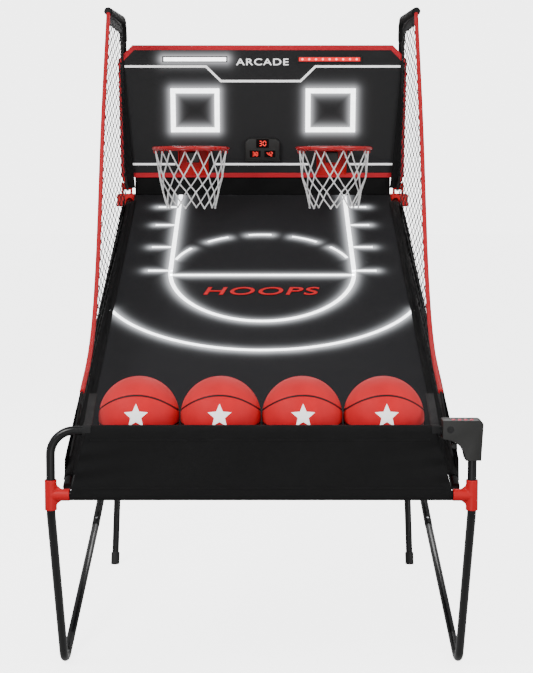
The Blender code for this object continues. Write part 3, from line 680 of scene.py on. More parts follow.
def strut_line(side, reach):
    """A point on a strut's centre line, as far along as reach says from where the line meets the leg's."""
    first, last, _ = rod_line(f"strut_lower_{'left' if side < 0 else 'right'}")
    low, high = (first, last) if first.z < last.z else (last, first)
    way = (high - low).normalized()
    return low + way * (reach - STRUT_START)


def front_leg(side, label, paint):
    """Leg from the tee down to the floor, bent there to run on into the strut."""
    corners = [at(side * LEG_X, 0, TEE_Z), at(side * LEG_X, 0, TEE_Z - 0.05), strut_line(side, 0.0),
               strut_line(side, 0.1400)]
    upper_part = bent_path(corners[:3], LEG_TOP_BEND, 10)[:-1]
    foot = bent_path(corners[1:], LEG_FOOT_BEND, 24)[1:]
    piece(f"front_leg_{label}_finish", tube_mesh("front_leg", [[*upper_part, *foot]], TUBE_R, 8),
          paint["tube"], BASE, (f"front_leg_{label}",))


def build_fittings(paint):
    """Red mouldings at the corners, at the hinges and behind the hoops."""
    for _, label in SIDES:
        moulded(f"front_tee_{label}", paint["red"], BASE, 0.0013, 5)
        moulded(f"hinge_lower_{label}", paint["red"], BASE, 0.0016, 4)
        moulded(f"hinge_upper_{label}", paint["red"], UPPER, 0.0016, 4)
        moulded(f"hoop_bracket_{label}", paint["red"], UPPER, 0.0014, 4)
        edged(f"hoop_sensor_{label}", paint["case"], UPPER, 0.0025)
        edged(f"snap_button_{label}", paint["steel"], f"snap_button_{label}", 0.0008)


def dome_mesh(radius, height):
    """A shallow dome standing up from its own plane."""
    profile = [(0, height), (radius * 0.5, height * 0.92), (radius * 0.85, height * 0.6), (radius, 0.0004),
               (radius, -0.0006), (0, -0.0006)]
    return turned("dome", profile, 24)


# Playfield, board and their prints --------------------------------------------------------------

# The court, in metres across and up the playfield.
LANE_X, LANE_TOP, LANE_LOW = 0.325, 2.050, 1.350
FOUL_LINE = 1.311
CIRCLE_NEAR, CIRCLE_FAR = 0.390, 0.310  # depth of the circle's solid half and of its dashed half
OUTER_ARC_MIDDLE, OUTER_ARC_WIDE, OUTER_ARC_DEEP = 1.25, 0.560, 0.490
TICKS, TICK_FROM, TICK_TO = (1.924, 1.749, 1.548, 1.347), 0.334, 0.405
DASHES = ((163, 143), (128, 113), (99, 84), (70, 52), (40, 20))
LANE_W, LINE_W, OUTER_ARC_W, TICK_W, DASH_W = 0.021, 0.019, 0.017, 0.016, 0.014
FIELD_PITCH, BOARD_PITCH = 0.006, 0.0065  # how finely the lit cloths are divided
CORE_SHARE = 0.72  # of a line's width that is lit cord rather than glow


def court_lines():
    """The court drawn on the playfield: (points, width) for each line."""
    lines = [([(side * LANE_X, LANE_LOW - 0.012), (side * LANE_X, LANE_TOP)], LANE_W) for side, _ in SIDES]
    lines.append((arc_line((0, LANE_LOW), LANE_X, CIRCLE_NEAR, 180, 360, 56), LINE_W))
    lines.append(([(-LANE_X, FOUL_LINE), (LANE_X, FOUL_LINE)], LINE_W))
    outer_arc = arc_line((0, OUTER_ARC_MIDDLE), OUTER_ARC_WIDE, OUTER_ARC_DEEP, 205.5, 334.5, 72)
    lines.append((outer_arc, OUTER_ARC_W))
    for height in TICKS:
        for side, _ in SIDES:
            lines.append(([(side * TICK_FROM, height), (side * TICK_TO, height)], TICK_W))
    for start, end in DASHES:
        lines.append((arc_line((0, LANE_LOW), LANE_X, CIRCLE_FAR, start, end, 8), DASH_W))
    return lines


def build_playfield(paint):
    """The cloth of the playfield with its lit lines and its word."""
    lines = court_lines()
    lit = [(np.array(points), width / 2) for points, width in lines]
    cad = np.array([v.co for v in frame["nodes"]["playfield"].data.vertices])
    plane = field_matrix()
    own = np.array([plane.inverted() @ Vector(p) for p in cad])
    low, high = own.min(0), own.max(0)

    def relief(x, y):
        """Cloth stretched between the two side tubes: a slack of a few millimetres and fine ripples."""
        edge = np.clip((high[0] - np.abs(x)) / 0.25, 0, 1)
        ends = np.clip((y - low[1]) / 0.2, 0, 1) * np.clip((high[1] - y) / 0.2, 0, 1)
        ripple = 0.0011 * np.sin(x * 23 + 1.3 * np.sin(y * 7)) * np.sin(y * 9 + 0.6)
        return high[2] - 0.0001 - edge * ends * (0.0016 + np.abs(ripple))

    data = lit_cloth("playfield", (low[0], low[1]), (high[0], high[1]), FIELD_PITCH, relief, plane, lit,
                     high[2] - low[2] - 0.0002)
    field = piece("playfield_cloth", data, paint["field"], BASE, ("playfield",))
    build_field_sleeves(paint, high[2])
    strips = []
    for k, (points, width) in enumerate(lines):
        strips.append(strip(f"court_line_{k}", resampled(points, 0.02), width * CORE_SHARE, plane, 0.0012,
                            paint["lit_white"], BASE, raised=high[2] - 0.0005))
    joined("court_lines", strips)
    word_place = field_matrix(high[2] + 0.0002) @ Matrix.Translation((-0.01, 1.181, 0))
    word("court_word", "HOOPS", 0.082, word_place, paint["print_red"], BASE, slant=0.2)


SLEEVE_FROM, SLEEVE_SHARE = 0.02, 0.96  # of a ramp tube's length


def build_field_sleeves(paint, top):
    """Cloth from the playfield's edge over each ramp tube, down its outer side, with slight gathers."""
    for side, label in SIDES:
        first, last, radius = rod_line(f"ramp_tube_{label}")
        low, high = (first, last) if first.z < last.z else (last, first)
        inverse = field_matrix().inverted()
        a, b = inverse @ low, inverse @ high
        count, points = 130, []
        for k in range(count + 1):
            share = SLEEVE_FROM + SLEEVE_SHARE * k / count
            middle = a.lerp(b, share)
            wave = 1 + 0.02 * math.sin(k * 0.8) + 0.015 * math.sin(k * 2.3)
            reach = (radius + CLOTH_GAP) * wave
            section = [(side * (FIELD_HALF - 0.010), top + 0.0016),
                       (side * (FIELD_HALF - 0.001), top + 0.0018)]
            for angle in range(130, -61, -19):
                turn = math.radians(angle)
                section.append((middle.x + side * reach * math.cos(turn), middle.z + reach * math.sin(turn)))
            points += [(x, middle.y, z) for x, z in section]
        data = mesh_of(points, grid_faces(count + 1, len(section)), "field_sleeve")
        data.transform(field_matrix())
        sleeve = cloth(f"field_sleeve_{label}", data, paint, BASE, 0.0010, 0.0)


def resampled(points, step):
    """The same line with points no further apart than a step."""
    points = [Vector(p) for p in points]
    out = [points[0]]
    for a, b in zip(points, points[1:]):
        count = max(1, round((b - a).length / step))
        out += [a.lerp(b, k / count) for k in range(1, count + 1)]
    return out


# The board's print, in metres across and up from the hinge.
BOARD_HALF, BOARD_LOW, BOARD_HIGH, BOARD_CUT = 0.560, 0.046, 0.565, 0.055
CUT_SHRINK = 0.586  # how much a 45 degree corner cut shortens for each unit of inset
EDGE_W = 0.018
SKIN_HALF, SKIN_TOP_HALF = 0.541, 0.505  # the black cloth inside the red edge, wider below its cut corners
SKIN_LOW, SKIN_CUT, SKIN_CORNER, SKIN_HIGH = 0.066, 0.492, 0.512, 0.546
STEP_HIGH, STEP_LOW = 0.484, 0.427
UPPER_LINE = ((-0.536, STEP_HIGH), (-0.220, STEP_HIGH), (-0.162, STEP_LOW), (0.148, STEP_LOW),
              (0.206, STEP_HIGH), (0.536, STEP_HIGH))
LOWER_Y, LOWER_LINES = 0.099, ((-0.530, -0.345), (-0.186, 0.181), (0.343, 0.530))
TARGET_LOW, TARGET_HIGH, TARGETS = 0.236, 0.389, ((-0.350, -0.178), (0.178, 0.354))
BAR_Y = 0.512
WHITE_BAR, RED_BAR = (-0.383, -0.142), (0.141, 0.379)


def board_outline(inset):
    """The board's outline, as much smaller as the inset says."""
    half, low, high = BOARD_HALF - inset, BOARD_LOW + inset, BOARD_HIGH - inset
    cut = BOARD_CUT - inset * CUT_SHRINK
    return [(-half, low), (half, low), (half, high - cut), (half - cut, high), (cut - half, high),
            (-half, high - cut)]


def build_board(paint):
    """The board: core, red edge, lit stripes, squares and light bars."""
    core = edged("backboard", paint["board_back"], UPPER, 0.0012, 2)
    front = [(board_matrix().inverted() @ Vector(v.co)).z for v in core.data.vertices]
    face = max(front)
    plane = board_matrix() @ Matrix.Translation((0, 0, face))
    strip("board_edge", board_outline(EDGE_W / 2), EDGE_W, plane, 0.0026, paint["border"], UPPER,
          cyclic=True, raised=-0.0004)
    squares = [[(x0, TARGET_HIGH), (x0, TARGET_LOW), (x1, TARGET_LOW), (x1, TARGET_HIGH)]
               for x0, x1 in TARGETS]
    glow = [(np.array([*s, s[0]]), 0.009) for s in squares]
    glow.append((np.array([(x, BAR_Y) for x in WHITE_BAR]), 0.008))

    def flat(x, y):
        return np.full_like(x, 0.0010)

    for name, half, low, high in (("board_skin", SKIN_HALF, SKIN_LOW, SKIN_CUT),
                                  ("board_skin_top", SKIN_TOP_HALF, SKIN_CUT, SKIN_HIGH)):
        skin = lit_cloth(name, (-half, low), (half, high), BOARD_PITCH, flat, plane, glow, 0.0008)
        piece(name, skin, paint["board"], UPPER)
    for side, label in SIDES:
        corner = [(SKIN_TOP_HALF, SKIN_CUT), (SKIN_HALF, SKIN_CUT), (SKIN_HALF, SKIN_CORNER),
                  (SKIN_TOP_HALF, SKIN_HIGH)]
        data = mesh_of([(side * x, y, z) for z in (0.0010, 0.0002) for x, y in corner],
                       [(0, 1, 2, 3), (7, 6, 5, 4), *((k, k + 4, (k + 1) % 4 + 4, (k + 1) % 4)
                                                      for k in range(4))], "board_corner")
        data.transform(plane)
        piece(f"board_corner_{label}", outward(data), paint["board"], UPPER, smooth=False)
    lines = [(UPPER_LINE, 0.0085), *((((x0, LOWER_Y), (x1, LOWER_Y)), 0.0080) for x0, x1 in LOWER_LINES)]
    joined("board_lines", [strip(f"board_line_{k}", resampled(line, 0.03), width, plane, 0.0008,
                                 paint["print_white_painted_glow"], UPPER, raised=0.0009)
                           for k, (line, width) in enumerate(lines)])
    joined("board_lights", [strip(f"target_{k}", square, 0.0185, plane, 0.0012, paint["lit_white"], UPPER,
                                  cyclic=True, raised=0.0009)
                            for k, square in enumerate(squares)])
    for (x0, x1), material, name in ((WHITE_BAR, "lit_white", "light_bar_white"),
                                     (RED_BAR, "lit_red", "light_bar_red")):
        strip(name, [(x0, BAR_Y), (x1, BAR_Y)], 0.0150, plane, 0.0042, paint[material], UPPER,
              raised=0.0008)
        left, right, low, high = x0 - 0.004, x1 + 0.004, BAR_Y - 0.0095, BAR_Y + 0.0095
        case_line = [(left, low), (right, low), (right, high), (left, high)]
        strip(f"{name}_case", case_line, 0.0035, plane, 0.0056, paint["case"], UPPER, cyclic=True,
              raised=0.0008)
    dots = []
    for k in range(9):
        dot = dome_mesh(0.0042, 0.0022)
        dot.transform(plane @ Matrix.Translation((0.155 + k * 0.0263, BAR_Y, 0.0046)))
        dots.append(piece(f"light_dot_{k}", dot, paint["dot_red"], UPPER))
    joined("light_dots", dots)
    word("board_word", "ARCADE", 0.036, plane @ Matrix.Translation((0, 0.500, 0.0014)), paint["print_white_painted_glow"],
         UPPER)
    build_scoreboard(paint, plane)


SEGMENTS = {"0": "abcdef", "1": "bc", "2": "abged", "3": "abgcd", "4": "fgbc", "5": "afgcd",
            "6": "afgedc", "7": "abc", "8": "abcdefg", "9": "abcdfg"}
SEGMENT_ENDS = {"a": ((0, 1), (1, 1)), "b": ((1, 1), (1, 0.5)), "c": ((1, 0.5), (1, 0)),
                "d": ((1, 0), (0, 0)), "e": ((0, 0), (0, 0.5)), "f": ((0, 0.5), (0, 1)),
                "g": ((0, 0.5), (1, 0.5))}


def digit_strips(name, text, low, size, plane, paint):
    """Seven-segment figures standing just off the window."""
    width, height, pitch = size * 0.56, size, size * 0.86
    made = []
    for k, figure in enumerate(text):
        x, y = low[0] + k * pitch, low[1]
        for letter in SEGMENTS[figure]:
            (ax, ay), (bx, by) = SEGMENT_ENDS[letter]
            a = Vector((x + ax * width, y + ay * height))
            b = Vector((x + bx * width, y + by * height))
            gap = (b - a).normalized() * size * 0.08
            made.append(strip(f"{name}_{k}_{letter}", [tuple(a + gap), tuple(b - gap)], size * 0.11, plane,
                              0.0005, paint["digit"], UPPER))
    return joined(name, made)


def build_scoreboard(paint, plane):
    """The score box: a hooded case, three smoked windows and their figures."""
    case = edged("scoreboard", paint["case"], UPPER, 0.004)
    face = max((plane.inverted() @ Vector(v.co)).z for v in case.data.vertices)
    front = plane @ Matrix.Translation((0, 0, face))
    windows = ((-0.026, 0.026, 0.166, 0.204, "timer"), (-0.052, -0.006, 0.128, 0.158, "home"),
               (0.006, 0.052, 0.128, 0.158, "guest"))
    for x0, x1, y0, y1, label in windows:
        outline = [(x0, y0), (x1, y0), (x1, y1), (x0, y1)]
        strip(f"window_rim_{label}", outline, 0.0026, front, 0.0016, paint["case"], UPPER,
              cyclic=True, raised=-0.0002)
        strip(f"window_{label}", [((x0 + x1) / 2, y0), ((x0 + x1) / 2, y1)], x1 - x0, front, 0.0008,
              paint["window"], UPPER, raised=-0.0002)
    lifted = front @ Matrix.Translation((0, 0, 0.0006))
    for label, text, low, size in (("timer", "30", (-0.0125, 0.1760), 0.018),
                                   ("home", "38", (-0.0400, 0.1355), 0.015),
                                   ("guest", "42", (0.0180, 0.1355), 0.015)):
        digit_strips(f"{label}_digits", text, low, size, lifted, paint)


# Hoops and their nets ---------------------------------------------------------------------------

HOOKS, NET_ROWS, NET_TURN = 8, 3, 0.22
HOOK_R, HOOK_WIRE_R = 0.0062, 0.0015
NET_LEVELS = (0.02, 0.45, 0.73, 1.0)  # how far down the net each row of knots hangs
NET_RADII = (HOOP_R - 0.005, 0.122, 0.107, 0.094)
HOOP_CORD_R, HOOP_KNOT_R = 0.0026, 0.0043


def build_hoops(paint):
    """The rings, each with its net."""
    for _, label in SIDES:
        centre = ring_centre(label)
        loop = [centre + Vector((HOOP_R * math.cos(a), HOOP_R * math.sin(a), 0))
                for a in (2 * math.pi * k / 96 for k in range(96))]
        piece(f"hoop_ring_{label}_finish", tube_mesh("ring", [loop], HOOP_WIRE_R, 8, True), paint["hoop"],
              UPPER, (f"hoop_ring_{label}",))
        build_hoop_net(label, centre, paint)


def ring_centre(label):
    """Middle of a hoop's ring; its box reaches back to the bracket, so the front edge gives it."""
    low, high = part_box(f"hoop_ring_{label}")
    return Vector(((low.x + high.x) / 2, low.y + HOOP_R + HOOP_WIRE_R, (low.z + high.z) / 2))


def build_hoop_net(label, centre, paint):
    """Cords hung from hooks, crossing and knotted as they narrow."""
    drop = centre.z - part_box(f"hoop_net_{label}")[0].z
    cords, knots, loops = [], [], []

    def spot(row, turn):
        angle = 2 * math.pi * (turn % HOOKS) / HOOKS + NET_TURN
        sway = 0.0042 * math.sin(3.1 * (turn % HOOKS) + row * 1.7) * row / NET_ROWS
        reach = NET_RADII[row] + sway
        return centre + Vector((reach * math.cos(angle), reach * math.sin(angle),
                                -0.006 - (drop - 0.008) * NET_LEVELS[row]))

    for k in range(HOOKS):
        for way in (1, -1):
            route = [spot(row, k + way * row * 0.5) for row in range(NET_ROWS + 1)]
            slack = []
            for a, b in zip(route, route[1:]):
                slack += [a, (a + b) / 2 + Vector((0, 0, -0.0025))]
            cords.append(smooth_through([*slack, route[-1]], 4))
        away = (spot(0, k) - centre).to_2d().normalized()
        loops.append([spot(0, k) + Vector((*(away * HOOK_R * math.cos(a)), HOOK_R * math.sin(a) - 0.002))
                      for a in (2 * math.pi * s / 20 for s in range(20))])
        knots += [spot(row, k + row * 0.5) for row in range(1, NET_ROWS + 1)]
    work = bmesh.new()
    work.from_mesh(tube_mesh("net", cords, HOOP_CORD_R, 3))
    for knot in knots:
        bmesh.ops.create_icosphere(work, subdivisions=2, radius=HOOP_KNOT_R,
                                   matrix=Matrix.Translation(knot))
    data = finished_mesh(work, "net")
    piece(f"hoop_hooks_{label}", tube_mesh("hooks", loops, HOOK_WIRE_R, 3, True), paint["hoop"], UPPER)
    net = piece(f"hoop_net_{label}_cords", data, paint["cord"], UPPER, (f"hoop_net_{label}",))
    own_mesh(net)


# Cloth: side nets, front panel, skirt, straps ---------------------------------------------------

NET_LONG, NET_TALL, NET_CORD_R = 0.115, 0.036, 0.0016  # the side nets' diamonds and cord
NET_BELLY, NET_KNOT = 0.006, 1.9  # bulge outwards, and a knot's size in cord radii
NET_ORIGIN, NET_SPAN = (0.02, 0.62), (2.0, 1.6)  # the lattice's first knot and extent, before it is cut
SLACK_FROM, SLACK_TO = 0.15, 0.62  # heights above the ramp, square to it, of two points on the upright's line
BINDING_R, CORNER_R, TOP_HEM_R, REAR_HEM_R = 0.0072, 0.0035, 0.0045, 0.0040


def along(points, share):
    """The point that is a share of the way along a line."""
    spans = [(b - a).length for a, b in zip(points, points[1:])]
    left = share * sum(spans)
    for start, end, span in zip(points, points[1:], spans):
        if left <= span:
            return start.lerp(end, left / span)
        left -= span
    return points[-1]


def board_y(z):
    """Where the board's front face is at a height, from the front rail."""
    s, c = math.sin(lean()), math.cos(lean())
    up = (z - HINGE.z + s * BOARD_FRONT) / c
    return HINGE.y - s * up - c * BOARD_FRONT - Y0


def net_edges():
    """The side net's four edges, seen on the right: front, rear, bottom and top."""
    front = [(0.527, 0.105, 0.655), (0.512, 0.125, 0.740), (0.500, 0.154, 0.828), (0.508, 0.391, 0.892),
             (0.515, 0.572, 0.982), (0.522, 0.733, 1.128), (0.528, 0.856, 1.283),
             (0.535, 1.040, 1.602), (0.541, 1.275, 1.960), (SIDE_X, 1.305, 1.989)]
    rear = [(0.530, 1.862, 1.368),
            *((SIDE_X, board_y(z) - 0.006, z) for z in (1.45, 1.60, 1.75, 1.90, 1.992))]
    middle = at(0, 1.0, 0).y
    bottom = [front[0], (0.527, 1.0, ramp_z(middle) + 0.006), rear[0]]
    top = [front[-1], (SIDE_X, 1.56, 2.001), rear[-1]]
    return [[Vector(p) for p in edge] for edge in (front, rear, bottom, top)]


def net_point(u, v, edges):
    """A point of the net's surface, spanned between its four edges."""
    front, rear, bottom, top = edges
    ruled = along(front, v).lerp(along(rear, v), u) + along(bottom, u).lerp(along(top, u), v)
    corners = front[0].lerp(rear[0], u).lerp(front[-1].lerp(rear[-1], u), v)
    belly = NET_BELLY * math.sin(math.pi * u) * math.sin(math.pi * v)
    point = ruled - corners
    return Vector((point.x + belly, point.y, point.z))


def inside(point, outline):
    """Whether a point (y, z) lies within an outline."""
    y, z = point
    within = False
    for (ay, az), (by, bz) in zip(outline, [*outline[1:], outline[0]]):
        if (az > z) != (bz > z) and y < ay + (z - az) * (by - ay) / (bz - az):
            within = not within
    return within


def cut_at(kept, lost, outline):
    """A cord that crosses the outline, cut there, found by halving."""
    low, high = 0.0, 1.0
    for _ in range(10):
        middle = (low + high) / 2
        trial = tuple(p + (q - p) * middle for p, q in zip(kept, lost))
        low, high = (middle, high) if inside(trial, outline) else (low, middle)
    return kept, tuple(p + (q - p) * low for p, q in zip(kept, lost))


def net_strands(side, edges):
    """Every cord and knot of a diamond lattice, cut to the net's outline and laid on its surface."""
    front, rear, bottom, top = edges
    lines = (smooth_through(front, 6), top, rear[::-1], bottom[::-1])
    outline = [(p.y, p.z) for line in lines for p in line]
    shares = np.linspace(0, 1, 24)
    samples = np.array([net_point(u, v, edges) for u in shares for v in shares])

    def terms(y, z):
        return np.stack([y ** a * z ** b for a in range(5) for b in range(5 - a)], -1)

    fit = np.linalg.lstsq(terms(samples[:, 1], samples[:, 2]), samples[:, 0], rcond=None)[0]

    def spot(y, z):
        x = float(terms(np.array(y), np.array(z)) @ fit)
        return at(side * x, y, z)

    cords, knots = [], []
    columns, rows = int(NET_SPAN[0] / NET_LONG) * 2, int(NET_SPAN[1] / NET_TALL) * 2

    def node(i, j):
        sway = 0.0020 * math.sin(i * 1.7 + j * 0.9)
        return (NET_ORIGIN[0] + i * NET_LONG / 2 + sway, NET_ORIGIN[1] + j * NET_TALL / 2 + sway * 0.5)

    for j in range(rows):
        for i in range(columns):
            if (i + j) % 2:
                continue
            here = node(i, j)
            if inside(here, outline):
                knots.append(spot(*here))
            for step in ((1, 1), (1, -1)):
                a, b = here, node(i + step[0], j + step[1])
                first, second = inside(a, outline), inside(b, outline)
                if not first and not second:
                    continue
                if first != second:
                    a, b = cut_at(*((a, b) if first else (b, a)), outline)
                if math.dist(a, b) > 0.001:
                    half = ((a[0] + b[0]) / 2, (a[1] + b[1]) / 2)
                    cords += [[spot(*a), spot(*half)], [spot(*half), spot(*b)]]
    return cords, knots


def slack_band(side):
    """Two points on the upright's line above the ramp's middle, square to the ramp and as high as SLACK_FROM
    and SLACK_TO say.
    """
    way = (FIELD_REAR - FIELD_FRONT).normalized()
    square = Vector((0, -way.z, way.y))
    foot = at(side * SIDE_X, 1.0, 0)
    foot.z = ramp_z(foot.y)
    return foot + square * SLACK_FROM, foot + square * SLACK_TO


def build_side_net(side, label, paint):
    """Knotted diamond netting between the ramp tube, the arm and the upright, bound in red in front."""
    edges = net_edges()
    cords, knots = net_strands(side, edges)
    data = strand_mesh(f"side_net_{label}", cords, NET_CORD_R, knots)
    net = piece(f"side_net_{label}_mesh", data, paint["net"], None, (f"side_net_{label}",))
    start, end = slack_band(side)
    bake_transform(net)
    trims = ((edges[0][2:], BINDING_R, "trim", "piping"), (edges[0][:3], CORNER_R, "webbing", "corner"),
             (edges[3], TOP_HEM_R, "webbing", "hem_top"), (edges[1], REAR_HEM_R, "webbing", "hem_rear"))
    for line, radius, material, name in trims:
        route = [at(side * p.x, p.y, p.z) for p in smooth_through(line, 8)]
        tube = tube_mesh(name, [route], radius, 5)
        made = piece(f"side_net_{label}_{name}", tube, paint[material], None)
        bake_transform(made)
    build_hem(side, label, paint)


def strand_mesh(name, cords, radius, knots):
    """Four-sided cords with a small knot wherever they meet, light enough for thousands of them."""
    points, faces = [], []
    for a, b in cords:
        way = (b - a).normalized()
        one = way.orthogonal().normalized()
        two = way.cross(one)
        base = len(points)
        for end in (a, b):
            for k in range(4):
                angle = math.pi / 2 * k
                points.append(end + (one * math.cos(angle) + two * math.sin(angle)) * radius)
        for k in range(4):
            n = (k + 1) % 4
            faces.append((base + k, base + n, base + 4 + n, base + 4 + k))
        faces += [(base + 3, base + 2, base + 1, base), (base + 4, base + 5, base + 6, base + 7)]
    shape = [Vector(v) for v in ((1, 0, 0), (-1, 0, 0), (0, 1, 0), (0, -1, 0), (0, 0, 1), (0, 0, -1))]
    sides = ((0, 2, 4), (2, 1, 4), (1, 3, 4), (3, 0, 4), (2, 0, 5), (1, 2, 5), (3, 1, 5), (0, 3, 5))
    for knot in knots:
        base = len(points)
        points += [knot + corner * radius * NET_KNOT for corner in shape]
        faces += [tuple(base + k for k in face) for face in sides]
    return mesh_of(points, faces, name)


HEM_FROM, HEM_TO, HEM_TALL = 0.10, 1.840, 0.060


def build_hem(side, label, paint):
    """Cloth hem that wraps the ramp tube below the net, gathered a little along its length."""
    long, tall = 90, 8

    def place(k, s):
        y = HEM_FROM + k / long * (HEM_TO - HEM_FROM)
        fall = s / tall
        x = SIDE_X + 0.0014 * math.sin(k * 1.1) * fall + 0.0012 * fall
        return at(side * x, y, ramp_z(Y0 + y) + 0.022 - HEM_TALL * fall + 0.0010 * math.sin(k * 0.7))

    data = surface("hem", long, tall, place, flipped=True)
    hem = cloth(f"side_net_{label}_hem", data, paint, BASE, 0.0016)


PANEL_TOP, PANEL_FOOT = 0.470, 0.5145  # half widths
STITCH_PITCH = 0.0062


def build_front_panel(paint):
    """Cloth panel pulled between its rail sleeve and the cross bar's, wider at the foot."""
    wide, tall = 150, 44
    sleeve = TUBE_R + 0.0026
    over = arc_line((0, RAIL_Z), sleeve, sleeve, -60, 180, 12)
    under = arc_line((0, TEE_Z), sleeve, sleeve, 180, 420, 12)
    flat = [(-sleeve, RAIL_Z + (TEE_Z - RAIL_Z) * k / tall) for k in range(1, tall)]
    profile = [*over, *flat, *under]

    def place(i, j):
        x, (y, z) = -1 + 2 * i / wide, profile[j]
        drop = min(1, max(0, (RAIL_Z - z) / (RAIL_Z - TEE_Z)))
        free = math.sin(math.pi * drop) ** 0.8 if 0 < drop < 1 else 0
        reach = PANEL_TOP + (PANEL_FOOT - PANEL_TOP) * drop
        fold = 0.0024 * math.sin(x * 9 + 2.4 * drop) + 0.0013 * math.sin(x * 31 - 3 * drop)
        corner = 0.0034 * abs(x) ** 6 * math.sin(22 * drop + 9 * x)
        return at(x * reach, y + free * (fold + corner), z)

    data = surface("front_panel", wide, len(profile) - 1, place)
    panel = cloth("front_panel_cloth", data, paint, BASE, 0.0014, stands_for=("front_panel",))
    seams = ((RAIL_Z - 0.021, PANEL_TOP), (RAIL_Z - 0.024, PANEL_TOP), (TEE_Z + 0.021, PANEL_FOOT),
             (TEE_Z + 0.024, PANEL_FOOT))
    joined("front_panel_stitching",
           [stitches(z, half - 0.012, -sleeve - 0.0012, paint) for z, half in seams])


def stitches(z, half, y, paint):
    """A row of small thread stitches across the panel."""
    paths = []
    for k in range(int(2 * half / STITCH_PITCH)):
        x = -half + k * STITCH_PITCH
        paths.append([at(x, y, z), at(x + 0.0018, y - 0.0004, z), at(x + 0.0038, y, z)])
    return piece("stitch_row", tube_mesh("stitch", paths, 0.00035, 1), paint["webbing"], BASE)


def build_skirt(paint):
    """Loose cloth from the board's lower edge to the back of the playfield."""
    half = FIELD_HALF - 0.002
    wide, tall = 110, 14
    start, end = skirt_ends()

    def place(i, j):
        x, share = -half + 2 * half * i / wide, j / tall
        point = start.lerp(end, share)
        sway = 0.0022 * math.sin(math.pi * share) * math.sin(x * 34 + 3 * share)
        return Vector((X0 + x, point.y + sway, point.z))

    data = surface("skirt", wide, tall, place)
    skirt = cloth("rear_skirt_cloth", data, paint, None, 0.0014, stands_for=("rear_skirt",))
    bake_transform(skirt)


def skirt_ends():
    """The skirt's top edge at the board and its lower edge on the playfield."""
    points = [v.co for v in frame["nodes"]["rear_skirt"].data.vertices]
    low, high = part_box("rear_skirt")
    tops = [p.y for p in points if p.z > high.z - 0.001]
    lows = [p.y for p in points if p.z < low.z + 0.001]
    return (Vector((X0, sum(tops) / len(tops), high.z + 0.0034)),
            Vector((X0, sum(lows) / len(lows), low.z - 0.0032)))


def build_straps(paint):
    """The nets' straps, and the cloth on the arms and the uprights."""
    for _, label in SIDES:
        edged(f"net_strap_{label}", paint["webbing"], BASE, 0.0006, 2)
    for side, label in SIDES:
        build_arm_cap(side, label, paint)
        build_arm_band(side, label, paint)
        build_wing(side, label, paint)


CAP_DOWN = 0.085  # how far the cap reaches down the upright
WING_TOP, WING_FOOT = 0.500, 0.006  # up the board's plane from the hinge


def build_arm_cap(side, label, paint):
    """Cloth sleeve over the arm and the top of the upright that carries the net."""
    across = Vector((X0 + side * SIDE_X, 0, 0))
    below, tip = UPRIGHT_TOP + Vector((0, 0.036, -0.17)), ARM_TIP + Vector((0, 0.004, 0))
    arm = bent_path([across + place for place in (below, UPRIGHT_TOP, tip)], ARM_BEND, 20)
    path = [p for p in resampled(arm, 0.010) if p.z > UPRIGHT_TOP.z - CAP_DOWN]
    points, faces, ring = [], [], 24
    for k, point in enumerate(path):
        before, after = path[max(0, k - 1)], path[min(len(path) - 1, k + 1)]
        way = (after - before).normalized()
        out = Vector((1, 0, 0))
        up = way.cross(out).normalized()
        for s in range(ring):
            angle = 2 * math.pi * s / ring
            wave = 1 + 0.030 * math.sin(k * 0.9 + 1.5 * s) + 0.020 * math.sin(k * 0.31 + 3 * s)
            reach = (TUBE_R + CLOTH_GAP) * wave
            points.append(point + out * math.cos(angle) * reach + up * math.sin(angle) * reach)
    for k in range(len(path) - 1):
        for s in range(ring):
            a, b = k * ring + s, k * ring + (s + 1) % ring
            faces.append((a, b, b + ring, a + ring))
    data = outward(mesh_of(points, faces, "arm_cap"))
    cap = cloth(f"arm_cap_{label}", data, paint, UPPER, 0.0010)


def build_arm_band(side, label, paint):
    """Cloth band sewn below the cap, from which the net hangs."""
    first, last = at(side * SIDE_X, 1.302, 1.990), at(side * SIDE_X, 1.765, 2.012)
    long, tall = 60, 8

    def place(k, s):
        share, fall = k / long, s / tall
        sway = 0.0016 * math.sin(k * 0.55) * fall
        return first.lerp(last, share) + Vector((sway, 0, -(0.030 + 0.012 * share) * fall))

    data = surface("arm_band", long, tall, place, flipped=True)
    band = cloth(f"arm_band_{label}", data, paint, UPPER, 0.0016, 0.0)


def build_wing(side, label, paint):
    """Black cloth that widens down the upright's inner side, in front of the board."""
    wide, tall = 12, 60
    plane = board_matrix()

    def place(j, i):
        fall, across = j / tall, i / wide
        inner, outer = 0.538 - 0.034 * fall ** 1.2, 0.552 - 0.008 * fall
        fold = 0.0022 * math.sin(9 * across + 2.0 * fall) * fall
        height = WING_TOP + (WING_FOOT - WING_TOP) * fall
        return plane @ Vector((side * (outer + (inner - outer) * across), height,
                               0.0070 + 0.010 * fall + fold))

    data = surface("wing", tall, wide, place)
    wing = cloth(f"wing_{label}", data, paint, UPPER, 0.0010, 0.0)


# Control box, cable and balls -------------------------------------------------------------------

CABLE_R = 0.0025


